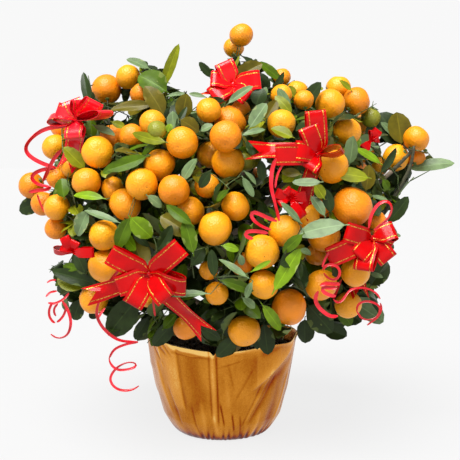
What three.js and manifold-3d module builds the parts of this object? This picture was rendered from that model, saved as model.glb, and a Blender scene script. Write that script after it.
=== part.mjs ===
// A calamondin orange tree in a foil-wrapped pot, dressed with red ribbon bows.
// Millimetres, +Z up. The front of the tree faces -Y. The origin is the centre of the pot's flat underside.
//
// A short trunk stands in the soil and carries tapering boughs. Each bough ends at one mass of foliage:
// twigs that branch from one stem, with fruit and leaves fused on. Every mass keeps to its own space,
// which is a ball cut off by the planes half way to its neighbours.
import * as THREE from 'three';
import { mergeVertices } from 'three/addons/utils/BufferGeometryUtils.js';
import Module from 'manifold-3d';

const wasm = await Module();
wasm.setup();

// ---------------------------------------------------------------- driving sizes

const GAP = 0.3; // what solids that rest on each other keep between them
const vec = (x, y, z) => new THREE.Vector3(x, y, z);
const UP = vec(0, 0, 1);

const POT = {
  footRadius: 46,
  shoulderRadius: 65.5,
  shoulderHeight: 21,
  rimRadius: 83,
  rimHeight: 107,
  belly: 2.2, // how far the wall bulges beyond a straight cone
  wall: 2.6,
  floor: 3,
  facets: 24,
  pleats: 7,
  pleatDepth: 1.5,
  pleatStart: 0.6, // where the first fold lies, in radians
  pleatMiddle: 0.6, // the share of a fold's depth that lies on the plain cone
  wallFrom: 38, // the height of the first ring above the shoulder
  outerTop: 90, // the height of the last ring below the lip, outside
  innerTop: 95, // and inside
  lip: 0.8, // how far the folded lip stands out
  lipSlope: 0.5,
  rimBand: 8, // the ring inside the rim where the foil still stands
  rimWave: 1.5,
  rimWaves: 5,
  collarRise: 15, // how far the foil stands up on the left
  collarAngle: Math.PI,
  collarSharpness: 6,
};

const SOIL = { top: 96, clearance: 1.2 };

const TRUNK = {
  flareRadius: 11,
  radius: 7.5,
  forkRadius: 5.6,
  forkHeight: 176,
  flareShare: 0.22, // the share of the height over which the root flare runs out
  lean: vec(5, 4, 0), // where the fork stands, seen from the foot
  sway: vec(7.5, 1.6, 0), // where the trunk heads before it comes back to the fork
  straight: 26, // how far each end runs on before it bends
  sides: 10,
  rings: 6,
};

const BOUGH = {
  mainRadius: 4.6, // at the root of a bough on the trunk
  sideRadius: 3.2, // and of one on another bough
  tipRadius: 2.2,
  taper: 0.8,
  seat: 1.8, // how many gaps lie between a bough's root and the bark it stands on
  aim: 0.2, // how far along its way a bough already heads for its mass
  rootBend: 0.3, // the share of its length that leaves the carrier squarely
  tipBend: 0.35, // and the share that arrives in line with the stem
  sides: 5,
  rings: 4,
};

// A mass's stem runs from the bough's tip to the middle of the mass.
const STEM = { radius: 2.2, longest: 0.72, clearance: 5, step: 2, bareRoot: 6, bareTip: 1 };

// Twigs are three-sided. A twig's root is thin enough to vanish inside the twig that bears it.
const TWIG = {
  radius: 1.8,
  rootRadius: 0.7,
  sides: 3,
  forkEvery: 9,
  shortest: 6,
  straightUpTo: 42, // a longer twig bends once
  bendAt: 0.55,
  bendOnwards: 0.08, // how far the bend keeps to the fork's heading, as a share of the length
  bendBack: 0.1, // and how far it draws back from the arrival
  turnCost: 0.45, // how much a sharp turn counts against a fork
  clearance: 0.6,
  spaceClearance: 0.5,
  potClearance: 3,
  sampleStep: 4,
};

// How a twig is grown to each kind of end: how many forks are tried, whether it must stay in the mass's
// own space, how much of its tip bears no forks, and how much of its end runs straight.
const STALK = { keepTrying: 30, keepInside: false, bareTip: 6 };
const BOW_HOLDER = { keepTrying: 20, keepInside: false, bareTip: 14, straightEnd: 9 };
const LEAF_TWIG = { keepTrying: 8, keepInside: true, bareTip: 6 };
const SPRAY_TWIG = { keepTrying: 6, keepInside: true, bareTip: 20 };

// A blade is deepest at its root, which is sunk in the twig, and thins to its edges and tip.
const LEAF = {
  length: 50,
  width: 28,
  rootDepth: 1.1,
  widest: 0.5,
  elbowRoom: 5,
  clearance: 0.25,
  spaceClearance: 0.9,
  potClearance: 1.5,
  tilt: 0.8, // how much a blade's face turns outwards from the sky
  frontTilt: 0.6, // how much an outstanding leaf's face turns upwards from the front
};

const SPRAY = {
  perMass: 4,
  leaves: 3,
  sizes: [0.85, 1.15],
  smaller: 0.7, // a blade that has no room is tried at this share of its size
  turns: 4,
  internode: 8,
  longestStep: 0.3,
  spread: 1.25,
  endSpread: 0.35,
  spacing: 22,
  margin: 6,
  reach: [0.35, 0.75], // where sprays end, from the middle of the mass to its edge
  outwards: 0.55,
  tries: 90,
};

const FRUIT = {
  facets: 6,
  bands: 4,
  flatness: 0.94,
  clearance: 0.5,
  leastDiameter: 24,
  setBackStep: 2,
  setBackSteps: 40,
  stalkSunk: 0.2, // how deep a stalk reaches into its fruit, as a share of the radius
  stalkLift: 0.35,
  swerve: 0.9,
  leafyStalk: 16, // a longer stalk bears a leaf
  leafAt: 0.62,
};

// Fruit that are left to chance: their radii, where they hang from the middle of the mass to its edge,
// how strongly they are drawn outwards, and how far behind the front they stay.
const WILD = { radii: [13, 16.5], reach: [0.74, 0.88], outwards: 0.9, spacing: 5, behind: -25, tries: 60 };

// The crown's front follows an ellipsoid: half its width, depth and height, and the height of its middle.
// Leaves and boughs spread away from its heart.
const CROWN = {
  halfWidth: 200, halfDepth: 185, halfHeight: 150, middle: 243, fruitSunk: 15, heart: vec(0, 0, 215),
};

// How much a bow turns with the crown's surface: sideways, forwards and upwards.
const BOW_TURN = vec(0.5, 1, 0.35);
const RIBBON = {
  width: 19,
  tailWidth: 15.2,
  loopThickness: 7,
  tailThickness: 2.4,
  knot: 13,
  knotDepth: 10.4,
  armsFrom: 3.9, // how far from the middle of the knot the loops and tails begin
  holderSunk: 5.2, // how far behind the middle of the knot its twig ends
  clearance: 8,
  forwardStep: 2,
  forwardSteps: 16,
};
const BOW_SPOTS = [0.15, 0.5, 0.85]; // where along its loops and tails a bow takes up room

const MARK_STEP = 3; // how closely the room that wood takes up is marked
const WELD = 1e-4; // corners closer than this are one
const FLAT = 0.1; // how far joined solids may be smoothed over

// ---------------------------------------------------------------- the plan of the crown

// Each mass: the middle and radius of its ball, the limb that carries its bough, how far along that limb,
// its fruit as [across, height, diameter, set back], and its outstanding leaves as
// [across, height] of the foot and of the tip, and how far behind the front they stand.
// `wild` is how many more fruit it bears where they are left to chance.
const MASSES = {
  top: {
    middle: [12, 5, 398], radius: 52, from: 'trunk', at: 1, wild: 1,
    fruit: [[21, 436, 26, 0], [13, 424, 23, 5]],
    leaves: [[[-4, 388], [-28, 402], 120], [[28, 386], [48, 408], 120], [[44, 384], [66, 400], 125]],
  },
  upper_left: {
    middle: [-60, -15, 362], radius: 64, from: 'top', at: 0.42, wild: 2,
    fruit: [[-102, 391, 27, 0], [-85, 372, 24, 12]],
    leaves: [[[-60, 378], [-46, 430], 90], [[-90, 392], [-104, 412], 90], [[-62, 372], [-88, 398], 20]],
  },
  left_upper: {
    middle: [-122, -15, 345], radius: 60, from: 'left_outer', at: 0.52, wild: 3,
    fruit: [[-127, 378, 33, 0]],
    leaves: [[[-142, 366], [-152, 399], 80]],
  },
  left_outer: {
    middle: [-172, -15, 290], radius: 62, from: 'trunk', at: 0.5, wild: 2,
    fruit: [[-183, 315, 29, 0], [-178, 338, 27, 15], [-210, 273, 29, 0], [-171, 285, 23, 15],
      [-190, 256, 26, 12]],
    leaves: [[[-196, 250], [-229, 247], 60]],
  },
  left_low: {
    middle: [-158, -25, 205], radius: 62, from: 'left_outer', at: 0.36, wild: 3,
    fruit: [[-170, 234, 23, 10]],
    leaves: [[[-160, 178], [-191, 184], 90], [[-148, 166], [-184, 160], 90],
      [[-148, 150], [-170, 136], 90]],
  },
  upper_right: {
    middle: [72, 0, 352], radius: 60, from: 'top', at: 0.56, wild: 1,
    fruit: [[65, 391, 20, 0], [80, 375, 23, 10], [61, 370, 22, 0]],
    leaves: [[[96, 372], [112, 386], 130]],
  },
  right_upper: {
    middle: [132, -10, 345], radius: 58, from: 'right', at: 0.5, wild: 2,
    fruit: [[114, 361, 32, 0], [147, 365, 31, 0], [129, 380, 28, 15], [164, 347, 22, 5]],
    leaves: [],
  },
  far_right: {
    middle: [207, -5, 310], radius: 54, from: 'right', at: 0.72, wild: 0,
    fruit: [[211, 324, 27, 0], [192, 303, 31, 0], [217, 301, 22, 8], [177, 292, 23, 15]],
    leaves: [[[180, 326], [200, 352], 0], [[216, 288], [255, 296], 0]],
  },
  right: {
    middle: [160, -15, 240], radius: 60, from: 'trunk', at: 0.68, wild: 3,
    fruit: [],
    leaves: [[[186, 240], [208, 260], 80], [[168, 188], [188, 214], 60]],
  },
  right_low: {
    middle: [140, -30, 172], radius: 58, from: 'right', at: 0.34, wild: 2,
    fruit: [[132, 153, 29, 5]],
    leaves: [[[146, 158], [184, 128], 60], [[120, 150], [124, 112], 40]],
  },
  front_left_top: {
    middle: [-125, -85, 298], radius: 54, from: 'left_outer', at: 0.66, wild: 0,
    fruit: [[-122, 313, 32, 0], [-132, 284, 29, 0], [-153, 298, 25, 15], [-110, 327, 26, 15]],
    leaves: [],
  },
  front_mid_left: {
    middle: [-72, -112, 292], radius: 54, from: 'front_centre', at: 0.58, wild: 0,
    fruit: [[-60, 301, 32, 5], [-75, 284, 31, 0], [-93, 263, 32, 0], [-89, 328, 26, 12],
      [-107, 276, 26, 25]],
    leaves: [],
  },
  front_top: {
    middle: [-4, -90, 338], radius: 60, from: 'top', at: 0.3, wild: 0,
    fruit: [[-37, 323, 31, 0], [7, 344, 33, 10], [5, 329, 31, 0], [-10, 310, 29, 3], [-12, 354, 25, 0],
      [15, 353, 27, 25], [-67, 341, 28, 5], [7, 304, 33, 0], [24, 304, 21, 15]],
    leaves: [],
  },
  front_right_top: {
    middle: [92, -92, 306], radius: 58, from: 'top', at: 0.24, wild: 1,
    fruit: [[107, 300, 34, 0], [59, 341, 28, 0], [128, 333, 29, 5]],
    leaves: [],
  },
  front_centre: {
    middle: [-20, -128, 258], radius: 58, from: 'trunk', at: 0.42, wild: 0,
    fruit: [[-44, 279, 30, 0], [-5, 244, 33, 0], [-29, 258, 28, 12], [14, 263, 28, 18], [-13, 282, 25, 25]],
    leaves: [],
  },
  front_left: {
    middle: [-115, -98, 214], radius: 58, from: 'front_centre', at: 0.48, wild: 1,
    fruit: [[-166, 257, 27, 0], [-113, 234, 30, 0], [-113, 202, 35, 0], [-130, 163, 31, 0]],
    leaves: [],
  },
  front_mid_right: {
    middle: [44, -128, 212], radius: 54, from: 'front_centre', at: 0.45, wild: 0,
    fruit: [[39, 221, 33, 0], [61, 239, 31, 0], [41, 188, 29, 0], [20, 207, 23, 15], [-12, 200, 19, 20]],
    leaves: [],
  },
  front_right: {
    middle: [112, -104, 232], radius: 58, from: 'right', at: 0.56, wild: 0,
    fruit: [[128, 261, 40, 0], [134, 195, 32, 0], [101, 232, 33, 10], [84, 252, 25, 8], [102, 259, 23, 20],
      [98, 184, 32, 0]],
    leaves: [],
  },
  front_low_left: {
    middle: [-66, -100, 160], radius: 56, from: 'trunk', at: 0.23, wild: 1,
    fruit: [[-35, 139, 26, 0], [-73, 172, 24, 15]],
    leaves: [[[-80, 158], [-112, 128], 0]],
  },
  front_low_right: {
    middle: [36, -104, 156], radius: 58, from: 'trunk', at: 0.3, wild: 0,
    fruit: [[23, 135, 33, 0], [67, 162, 36, 0], [-4, 178, 23, 8]],
    leaves: [[[44, 140], [60, 108], 0]],
  },
  back_top: {
    middle: [-10, 85, 340], radius: 72, from: 'top', at: 0.66, wild: 5,
    fruit: [],
    leaves: [],
  },
  back_upper_left: {
    middle: [-112, 78, 292], radius: 72, from: 'back', at: 0.5, wild: 4,
    fruit: [],
    leaves: [],
  },
  back_upper_right: {
    middle: [108, 80, 298], radius: 72, from: 'back', at: 0.62, wild: 5,
    fruit: [],
    leaves: [],
  },
  back_left: {
    middle: [-112, 90, 190], radius: 72, from: 'back', at: 0.28, wild: 4,
    fruit: [],
    leaves: [],
  },
  back: {
    middle: [2, 118, 225], radius: 84, from: 'trunk', at: 0.8, wild: 6,
    fruit: [],
    leaves: [],
  },
  back_right: {
    middle: [118, 90, 195], radius: 72, from: 'back', at: 0.38, wild: 4,
    fruit: [],
    leaves: [],
  },
};

// Each bow: the mass whose twig it is tied to, its knot as [across, height, before the front],
// its loops and its tails as [direction in degrees from the right, length].
const BOWS = {
  upper_left: {
    mass: 'left_upper', knot: [-148, 347, 36],
    loops: [[150, 34], [185, 40], [10, 34], [-20, 32], [-95, 26]],
    tails: [[235, 34]],
  },
  top: {
    mass: 'top', knot: [14, 384, -24],
    loops: [[115, 30], [182, 28], [8, 30], [-55, 24]],
    tails: [[200, 36]],
  },
  right_upper: {
    mass: 'front_right_top', knot: [92, 312, 12],
    loops: [[92, 40], [140, 36], [175, 38], [15, 32]],
    tails: [[170, 58], [-100, 52]],
  },
  lower_left: {
    mass: 'front_low_left', knot: [-66, 202, 14],
    loops: [[145, 40], [42, 42], [-10, 38], [200, 40], [-110, 34]],
    tails: [[-58, 62], [205, 60]],
  },
  right: {
    mass: 'front_right', knot: [146, 226, 14],
    loops: [[120, 34], [195, 40], [30, 32], [-25, 30], [-110, 28]],
    tails: [[-75, 54]],
  },
};

// ---------------------------------------------------------------- small helpers

const { clamp, lerp } = THREE.MathUtils;
const along = (from, to, share) => from.clone().lerp(to, share);
const between = ([low, high], share) => lerp(low, high, share);

// A direction that is surely not the given one.
const asideOf = (direction) => (Math.abs(direction.z) < 0.9 ? UP : vec(1, 0, 0));

// The same stream of numbers from 0 to 1 for the same seed.
function seeded(seed) {
  let state = seed >>> 0;
  return () => {
    state = (state + 0x6d2b79f5) >>> 0;
    let mixed = Math.imul(state ^ (state >>> 15), state | 1);
    mixed ^= mixed + Math.imul(mixed ^ (mixed >>> 7), mixed | 61);
    return ((mixed ^ (mixed >>> 14)) >>> 0) / 4294967296;
  };
}

function randomDirection(random) {
  const height = 2 * random() - 1;
  const turn = 2 * Math.PI * random();
  const reach = Math.sqrt(1 - height * height);
  return vec(reach * Math.cos(turn), reach * Math.sin(turn), height);
}

// How far in front of the trunk's line the crown's front stands, at a place across and a height.
function frontAt(across, height, sunk) {
  const left = 1 - (across / CROWN.halfWidth) ** 2 - ((height - CROWN.middle) / CROWN.halfHeight) ** 2;
  return -(CROWN.halfDepth - sunk) * Math.sqrt(Math.max(0, left));
}

function solidOf(geometry) {
  const plain = geometry.index ? geometry.toNonIndexed() : geometry.clone();
  plain.deleteAttribute('normal');
  plain.deleteAttribute('uv');
  const merged = mergeVertices(plain, WELD);
  return new wasm.Manifold(new wasm.Mesh({
    numProp: 3,
    vertProperties: merged.attributes.position.array,
    triVerts: new Uint32Array(merged.index.array),
  }));
}

function geometryOf(solid) {
  const mesh = solid.getMesh();
  const geometry = new THREE.BufferGeometry();
  geometry.setAttribute('position', new THREE.BufferAttribute(new Float32Array(mesh.vertProperties), 3));
  geometry.setIndex(new THREE.BufferAttribute(new Uint32Array(mesh.triVerts), 1));
  return geometry;
}

// One closed solid from many that run into each other: what hangs loose and sealed hollows are dropped.
function fuse(geometries) {
  const joined = wasm.Manifold.union(geometries.map(solidOf)).asOriginal().simplify(FLAT);
  const bodies = joined.decompose().sort((a, b) => b.volume() - a.volume());
  return geometryOf(bodies[0]);
}

// A path through straight stretches.
function bentLine(points) {
  const path = new THREE.CurvePath();
  for (let i = 1; i < points.length; i++) path.add(new THREE.LineCurve3(points[i - 1], points[i]));
  return path;
}

const evenShares = (rings) => Array.from({ length: rings + 1 }, (_, ring) => ring / rings);

// A closed tapering tube along a curve, with a ring of points at each of the shares of its length.
function limbGeometry(curve, radiusAt, sides, shares) {
  const positions = [];
  const glance = 0.02;
  let normal = null;
  for (const share of shares) {
    const middle = curve.getPointAt(share);
    const behind = curve.getPointAt(Math.max(0, share - glance));
    const tangent = curve.getPointAt(Math.min(1, share + glance)).sub(behind).normalize();
    normal ??= new THREE.Vector3().crossVectors(tangent, asideOf(tangent));
    normal = normal.clone().projectOnPlane(tangent).normalize();
    const binormal = new THREE.Vector3().crossVectors(tangent, normal);
    for (let side = 0; side < sides; side++) {
      const turn = (2 * Math.PI * side) / sides;
      const point = middle.clone()
        .addScaledVector(normal, radiusAt(share) * Math.cos(turn))
        .addScaledVector(binormal, radiusAt(share) * Math.sin(turn));
      positions.push(point.x, point.y, point.z);
    }
  }
  const faces = [];
  const last = (shares.length - 1) * sides;
  for (let ring = 0; ring < last; ring += sides) {
    for (let side = 0; side < sides; side++) {
      const here = ring + side;
      const next = ring + ((side + 1) % sides);
      faces.push(here, next, next + sides, here, next + sides, here + sides);
    }
  }
  for (let side = 1; side < sides - 1; side++) {
    faces.push(0, side + 1, side);
    faces.push(last, last + side, last + side + 1);
  }
  const geometry = new THREE.BufferGeometry();
  geometry.setAttribute('position', new THREE.Float32BufferAttribute(positions, 3));
  geometry.setIndex(faces);
  return geometry;
}

// ---------------------------------------------------------------- pot and soil

function potRadiusAt(height) {
  const { footRadius, shoulderRadius, shoulderHeight, rimRadius, rimHeight, belly } = POT;
  if (height <= shoulderHeight) {
    const drop = 1 - height / shoulderHeight;
    return footRadius + (shoulderRadius - footRadius) * Math.sqrt(Math.max(0, 1 - drop * drop));
  }
  const share = (height - shoulderHeight) / (rimHeight - shoulderHeight);
  return shoulderRadius + (rimRadius - shoulderRadius) * share + 4 * belly * share * (1 - share);
}

// The foil's folds: ridges that grow from nothing at the foot to their full depth at the rim.
function pleatAt(angle, height) {
  const growth = clamp(height / POT.rimHeight, 0, 1);
  const ridge = Math.abs(Math.sin((POT.pleats * angle) / 2 + POT.pleatStart)) - POT.pleatMiddle;
  return POT.pleatDepth * growth * ridge;
}

function rimRiseAt(angle) {
  const collar = Math.max(0, Math.cos(angle - POT.collarAngle)) ** POT.collarSharpness;
  return POT.collarRise * collar + POT.rimWave * Math.sin(POT.rimWaves * angle);
}

// Turns a profile of [radius, height, share of the rim's rise] into a closed round body with folds.
function pleated(profile) {
  const keyOf = (radius, height) => `${radius.toFixed(3)} ${height.toFixed(3)}`;
  const rise = new Map(profile.map(([radius, height, share]) => [keyOf(radius, height), share]));
  const lathe = new THREE.LatheGeometry(profile.map(([r, z]) => new THREE.Vector2(r, z)), POT.facets);
  lathe.rotateX(Math.PI / 2);
  const position = lathe.attributes.position;
  for (let i = 0; i < position.count; i++) {
    const x = position.getX(i);
    const y = position.getY(i);
    const z = position.getZ(i);
    const radius = Math.hypot(x, y);
    if (radius < 1e-6) continue;
    const angle = Math.atan2(y, x);
    const share = rise.get(keyOf(radius, z)) ?? 0;
    const moved = radius + pleatAt(angle, z);
    position.setXYZ(i, (x / radius) * moved, (y / radius) * moved, z + share * rimRiseAt(angle));
  }
  return lathe;
}

function wallProfile(inset, bottom, top, steps) {
  const points = [];
  for (let step = 0; step <= steps; step++) {
    const height = bottom + ((top - bottom) * step) / steps;
    points.push([potRadiusAt(height) - inset, height, 0]);
  }
  return points;
}

function potGeometry() {
  const { shoulderHeight, wallFrom, outerTop, innerTop, rimHeight, wall, floor, lipSlope } = POT;
  const lipRadius = POT.rimRadius + POT.lip;
  const outside = [...wallProfile(0, 0, shoulderHeight, 3), ...wallProfile(0, wallFrom, outerTop, 2)];
  const inside = wallProfile(wall, floor, innerTop, 3).reverse();
  const lip = [[lipRadius, rimHeight, 1], [lipRadius - wall, rimHeight - lipSlope, 1]];
  return pleated([[0, 0, 0], ...outside, ...lip, ...inside, [0, floor, 0]]);
}

function soilGeometry() {
  const clearance = POT.wall + SOIL.clearance;
  const side = wallProfile(clearance, POT.floor + GAP, SOIL.top, 3);
  return pleated([[0, POT.floor + GAP, 0], ...side, [0, SOIL.top, 0]]);
}

function outsidePot(point, margin) {
  const widest = potRadiusAt(clamp(point.z, 0, POT.rimHeight)) + POT.pleatDepth;
  const radius = Math.hypot(point.x, point.y);
  if (radius > widest + margin) return true;
  const rim = POT.rimHeight + rimRiseAt(Math.atan2(point.y, point.x));
  return point.z > (radius > widest - POT.rimBand ? rim : SOIL.top) + margin;
}

// ---------------------------------------------------------------- trunk and boughs

// Round obstacles that everything grown later keeps clear of: limbs, twigs, fruit, leaves and bows.
const obstacles = [];

function markLine(curve, radiusAt, owner) {
  const count = Math.max(2, Math.ceil(curve.getLength() / MARK_STEP));
  for (let i = 0; i <= count; i++) {
    obstacles.push({ at: curve.getPointAt(i / count), radius: radiusAt(i / count), owner, kind: 'wood' });
  }
}

const limbs = {};

function trunkRadiusAt(share) {
  const flare = (TRUNK.flareRadius - TRUNK.radius) * (1 - clamp(share / TRUNK.flareShare, 0, 1)) ** 2;
  return lerp(TRUNK.radius, TRUNK.forkRadius, share) + flare;
}

function makeTrunk() {
  const foot = vec(0, 0, SOIL.top + GAP);
  const fork = TRUNK.lean.clone().setZ(TRUNK.forkHeight);
  const curve = new THREE.CubicBezierCurve3(
    foot,
    foot.clone().setZ(foot.z + TRUNK.straight),
    TRUNK.sway.clone().setZ(fork.z - TRUNK.straight),
    fork,
  );
  const geometry = limbGeometry(curve, trunkRadiusAt, TRUNK.sides, evenShares(TRUNK.rings));
  return { curve, radiusAt: trunkRadiusAt, geometry };
}

// How far out of a limb its faceted surface lies, from a point inside it.
function depthUnderBark(limb, from, outward) {
  const skin = new THREE.Mesh(limb.geometry, new THREE.MeshBasicMaterial({ side: THREE.DoubleSide }));
  return new THREE.Raycaster(from, outward).intersectObject(skin)[0].distance;
}

// Where a mass's stem begins: as far from the ball's middle towards the bough as its space allows.
function stemStart(mass, towards) {
  const inward = towards.clone().sub(mass.middle).normalize();
  const pointAt = (reach) => mass.middle.clone().addScaledVector(inward, reach);
  const hasRoom = (reach) => inSpace(mass, pointAt(reach + STEM.clearance), STEM.clearance);
  const longest = mass.radius * STEM.longest;
  let reach = 0;
  while (reach < longest && hasRoom(reach)) reach += STEM.step;
  return pointAt(reach);
}

function makeBough(mass) {
  const carrier = limbs[mass.from];
  const isLeader = mass.at === 1;
  const socket = carrier.curve.getPointAt(mass.at);
  const tangent = carrier.curve.getTangentAt(mass.at);
  const end = stemStart(mass, along(socket, mass.middle, BOUGH.aim));
  const arrival = mass.middle.clone().sub(end).normalize();
  const outward = isLeader
    ? tangent
    : mass.middle.clone().sub(socket).projectOnPlane(tangent).normalize();
  const seat = isLeader ? GAP : GAP * BOUGH.seat + depthUnderBark(carrier, socket, outward);
  const start = socket.clone().addScaledVector(outward, seat);
  const tip = end.clone().addScaledVector(arrival, -GAP);
  const length = start.distanceTo(tip);
  const curve = new THREE.CubicBezierCurve3(
    start,
    start.clone().addScaledVector(outward, length * BOUGH.rootBend),
    tip.clone().addScaledVector(arrival, -length * BOUGH.tipBend),
    tip,
  );
  const rootRadius = mass.from === 'trunk' ? BOUGH.mainRadius : BOUGH.sideRadius;
  const radiusAt = (share) => lerp(rootRadius, BOUGH.tipRadius, share ** BOUGH.taper);
  const geometry = limbGeometry(curve, radiusAt, BOUGH.sides, evenShares(BOUGH.rings));
  return { curve, radiusAt, geometry, end };
}

// ---------------------------------------------------------------- the space of each mass

const masses = Object.entries(MASSES).map(([name, plan], index) => ({
  ...plan, name, index, middle: vec(...plan.middle),
}));

// True where a point lies in the mass's ball and clear of the planes to its neighbours by a margin.
function inSpace(mass, point, margin) {
  const own = point.distanceToSquared(mass.middle) - mass.radius ** 2;
  if (own > 0) return false;
  return masses.every((other) => {
    if (other === mass) return true;
    const theirs = point.distanceToSquared(other.middle) - other.radius ** 2;
    return (theirs - own) / (2 * mass.middle.distanceTo(other.middle)) > margin;
  });
}

// Wood keeps clear of all that other masses own, and of its own mass's fruit but for the one it bears.
function woodClear(points, reach, owner, borne) {
  return obstacles.every((obstacle) => {
    if (obstacle.owner === owner && (obstacle.kind !== 'fruit' || obstacle.at === borne)) return true;
    return points.every((point) => point.distanceTo(obstacle.at) > obstacle.radius + reach);
  });
}

const onBlade = new THREE.Vector3();

// A blade keeps clear of all but the wood of its own mass.
function bladeClear(corners, owner) {
  const [foot, left, tip, right] = corners;
  const halves = [new THREE.Triangle(foot, left, tip), new THREE.Triangle(foot, tip, right)];
  const reach = LEAF.rootDepth / 2 + LEAF.clearance;
  return obstacles.every((obstacle) => {
    if (obstacle.owner === owner && obstacle.kind === 'wood') return true;
    return halves.every((half) => (
      half.closestPointToPoint(obstacle.at, onBlade).distanceTo(obstacle.at) > obstacle.radius + reach));
  });
}

// ---------------------------------------------------------------- fruit

function fruitGeometry(fruit, towardsStalk) {
  const geometry = new THREE.SphereGeometry(fruit.radius, FRUIT.facets, FRUIT.bands);
  geometry.scale(1, FRUIT.flatness, 1);
  geometry.applyQuaternion(new THREE.Quaternion().setFromUnitVectors(vec(0, 1, 0), towardsStalk));
  geometry.translate(fruit.at.x, fruit.at.y, fruit.at.z);
  return geometry;
}

const allFruit = [];

// A fruit is set back until it clears those that already hang in front of it.
function settleFruit(at, radius, inward) {
  const fruit = { at: at.clone(), radius };
  for (let step = 0; step < FRUIT.setBackSteps; step++) {
    const clear = allFruit.every((other) => (
      other.at.distanceTo(fruit.at) > other.radius + fruit.radius + FRUIT.clearance));
    if (clear) return fruit;
    fruit.at.addScaledVector(inward, FRUIT.setBackStep);
  }
  return null;
}

function placeFruit() {
  const listed = masses.flatMap((mass) => mass.fruit.map((row) => ({ mass, row })));
  listed.sort((a, b) => a.row[3] - b.row[3]);
  for (const { mass, row } of listed) {
    const [across, height, diameter, setBack] = row;
    if (diameter < FRUIT.leastDiameter) continue;
    const at = vec(across, frontAt(across, height, CROWN.fruitSunk) + setBack, height);
    const fruit = settleFruit(at, diameter / 2, vec(0, 1, 0));
    if (fruit) allFruit.push({ ...fruit, mass });
  }
  for (const mass of masses) {
    const random = seeded(101 + mass.index);
    const outward = outwardOf(mass);
    let placed = 0;
    for (let attempt = 0; attempt < WILD.tries && placed < mass.wild; attempt++) {
      const direction = randomDirection(random).addScaledVector(outward, WILD.outwards).normalize();
      const radius = between(WILD.radii, random());
      const reach = mass.radius * between(WILD.reach, random());
      const at = mass.middle.clone().addScaledVector(direction, reach);
      const spaced = allFruit.every((other) => (
        other.at.distanceTo(at) > other.radius + radius + WILD.spacing));
      const behind = mass.name.startsWith('back') || at.y > WILD.behind;
      if (!spaced || !behind || !inSpace(mass, at, radius / 2) || !outsidePot(at, radius)) continue;
      allFruit.push({ at, radius, mass });
      placed++;
    }
  }
  for (const { at, radius, mass } of allFruit) {
    obstacles.push({ at, radius, owner: mass.name, kind: 'fruit' });
  }
}

function outwardOf(mass) {
  return mass.middle.clone().sub(CROWN.heart).normalize();
}

// ---------------------------------------------------------------- twigs

// A twig through its root, its bends and its tip, at full strength from the first bend on.
function twigGeometry(path, points) {
  const shares = [0];
  const whole = path.getLength();
  points.slice(1).forEach((point, i) => shares.push(shares[i] + point.distanceTo(points[i]) / whole));
  shares[shares.length - 1] = 1;
  const radiusAt = (share) => lerp(TWIG.rootRadius, TWIG.radius, clamp(share / shares[1], 0, 1));
  return limbGeometry(path, radiusAt, TWIG.sides, shares);
}

// Places along a twig where others may fork off, each of them once.
function addForks(tree, path, from, to) {
  for (let distance = from; distance < to; distance += TWIG.forkEvery) {
    const share = distance / path.getLength();
    tree.push({ at: path.getPointAt(share), heading: path.getTangentAt(share) });
  }
}

// Grows a twig from the best fork of the mass's tree to a target, or tells that there is none.
function growTwig(grown, target, arrival, options) {
  const { mass, tree } = grown;
  const candidates = tree
    .map((fork) => {
      const run = target.clone().sub(fork.at);
      const bend = 1 - run.clone().normalize().dot(fork.heading);
      return { fork, cost: run.length() * (1 + TWIG.turnCost * bend) };
    })
    .filter(({ cost }) => cost > TWIG.shortest)
    .sort((a, b) => a.cost - b.cost)
    .slice(0, options.keepTrying);
  for (const { fork } of candidates) {
    const length = fork.at.distanceTo(target);
    const isBent = length > TWIG.straightUpTo;
    const bend = along(fork.at, target, TWIG.bendAt)
      .addScaledVector(fork.heading, length * TWIG.bendOnwards)
      .addScaledVector(arrival, -length * TWIG.bendBack);
    const points = isBent ? [fork.at, bend, target] : [fork.at, target];
    if (options.straightEnd) {
      points.splice(-1, 0, target.clone().addScaledVector(arrival, -options.straightEnd));
    }
    const path = bentLine(points);
    const samples = path.getSpacedPoints(Math.ceil(length / TWIG.sampleStep) + 1);
    const inside = (point) => inSpace(mass, point, TWIG.radius + TWIG.spaceClearance);
    const free = woodClear(samples, TWIG.radius + TWIG.clearance, mass.name, options.borne)
      && samples.every((point) => outsidePot(point, TWIG.potClearance))
      && (!options.keepInside || samples.every(inside));
    if (!free) continue;
    grown.parts.push(twigGeometry(path, points));
    tree.splice(tree.indexOf(fork), 1);
    addForks(tree, path, TWIG.forkEvery, path.getLength() - options.bareTip);
    markLine(path, () => TWIG.radius, mass.name);
    return path;
  }
  return null;
}

// ---------------------------------------------------------------- leaves

// The four corners of a blade that grows from a foot in a direction, with its face turned to a side.
function bladeCorners(foot, direction, face, size) {
  const across = new THREE.Vector3().crossVectors(direction, face).normalize();
  const belly = foot.clone().addScaledVector(direction, size * LEAF.length * LEAF.widest);
  const tip = foot.clone().addScaledVector(direction, size * LEAF.length);
  const half = (size * LEAF.width) / 2;
  return [
    foot.clone(),
    belly.clone().addScaledVector(across, -half),
    tip,
    belly.clone().addScaledVector(across, half),
  ];
}

// A wedge of six faces: its root is an upright edge, and it runs out to nothing at the sides and tip.
function leafGeometry([foot, left, tip, right], face) {
  const above = foot.clone().addScaledVector(face, LEAF.rootDepth / 2);
  const below = foot.clone().addScaledVector(face, -LEAF.rootDepth / 2);
  const geometry = new THREE.BufferGeometry().setFromPoints([above, below, left, tip, right]);
  geometry.setIndex([0, 4, 3, 0, 3, 2, 1, 3, 4, 1, 2, 3, 0, 2, 1, 0, 1, 4]);
  return geometry;
}

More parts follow.
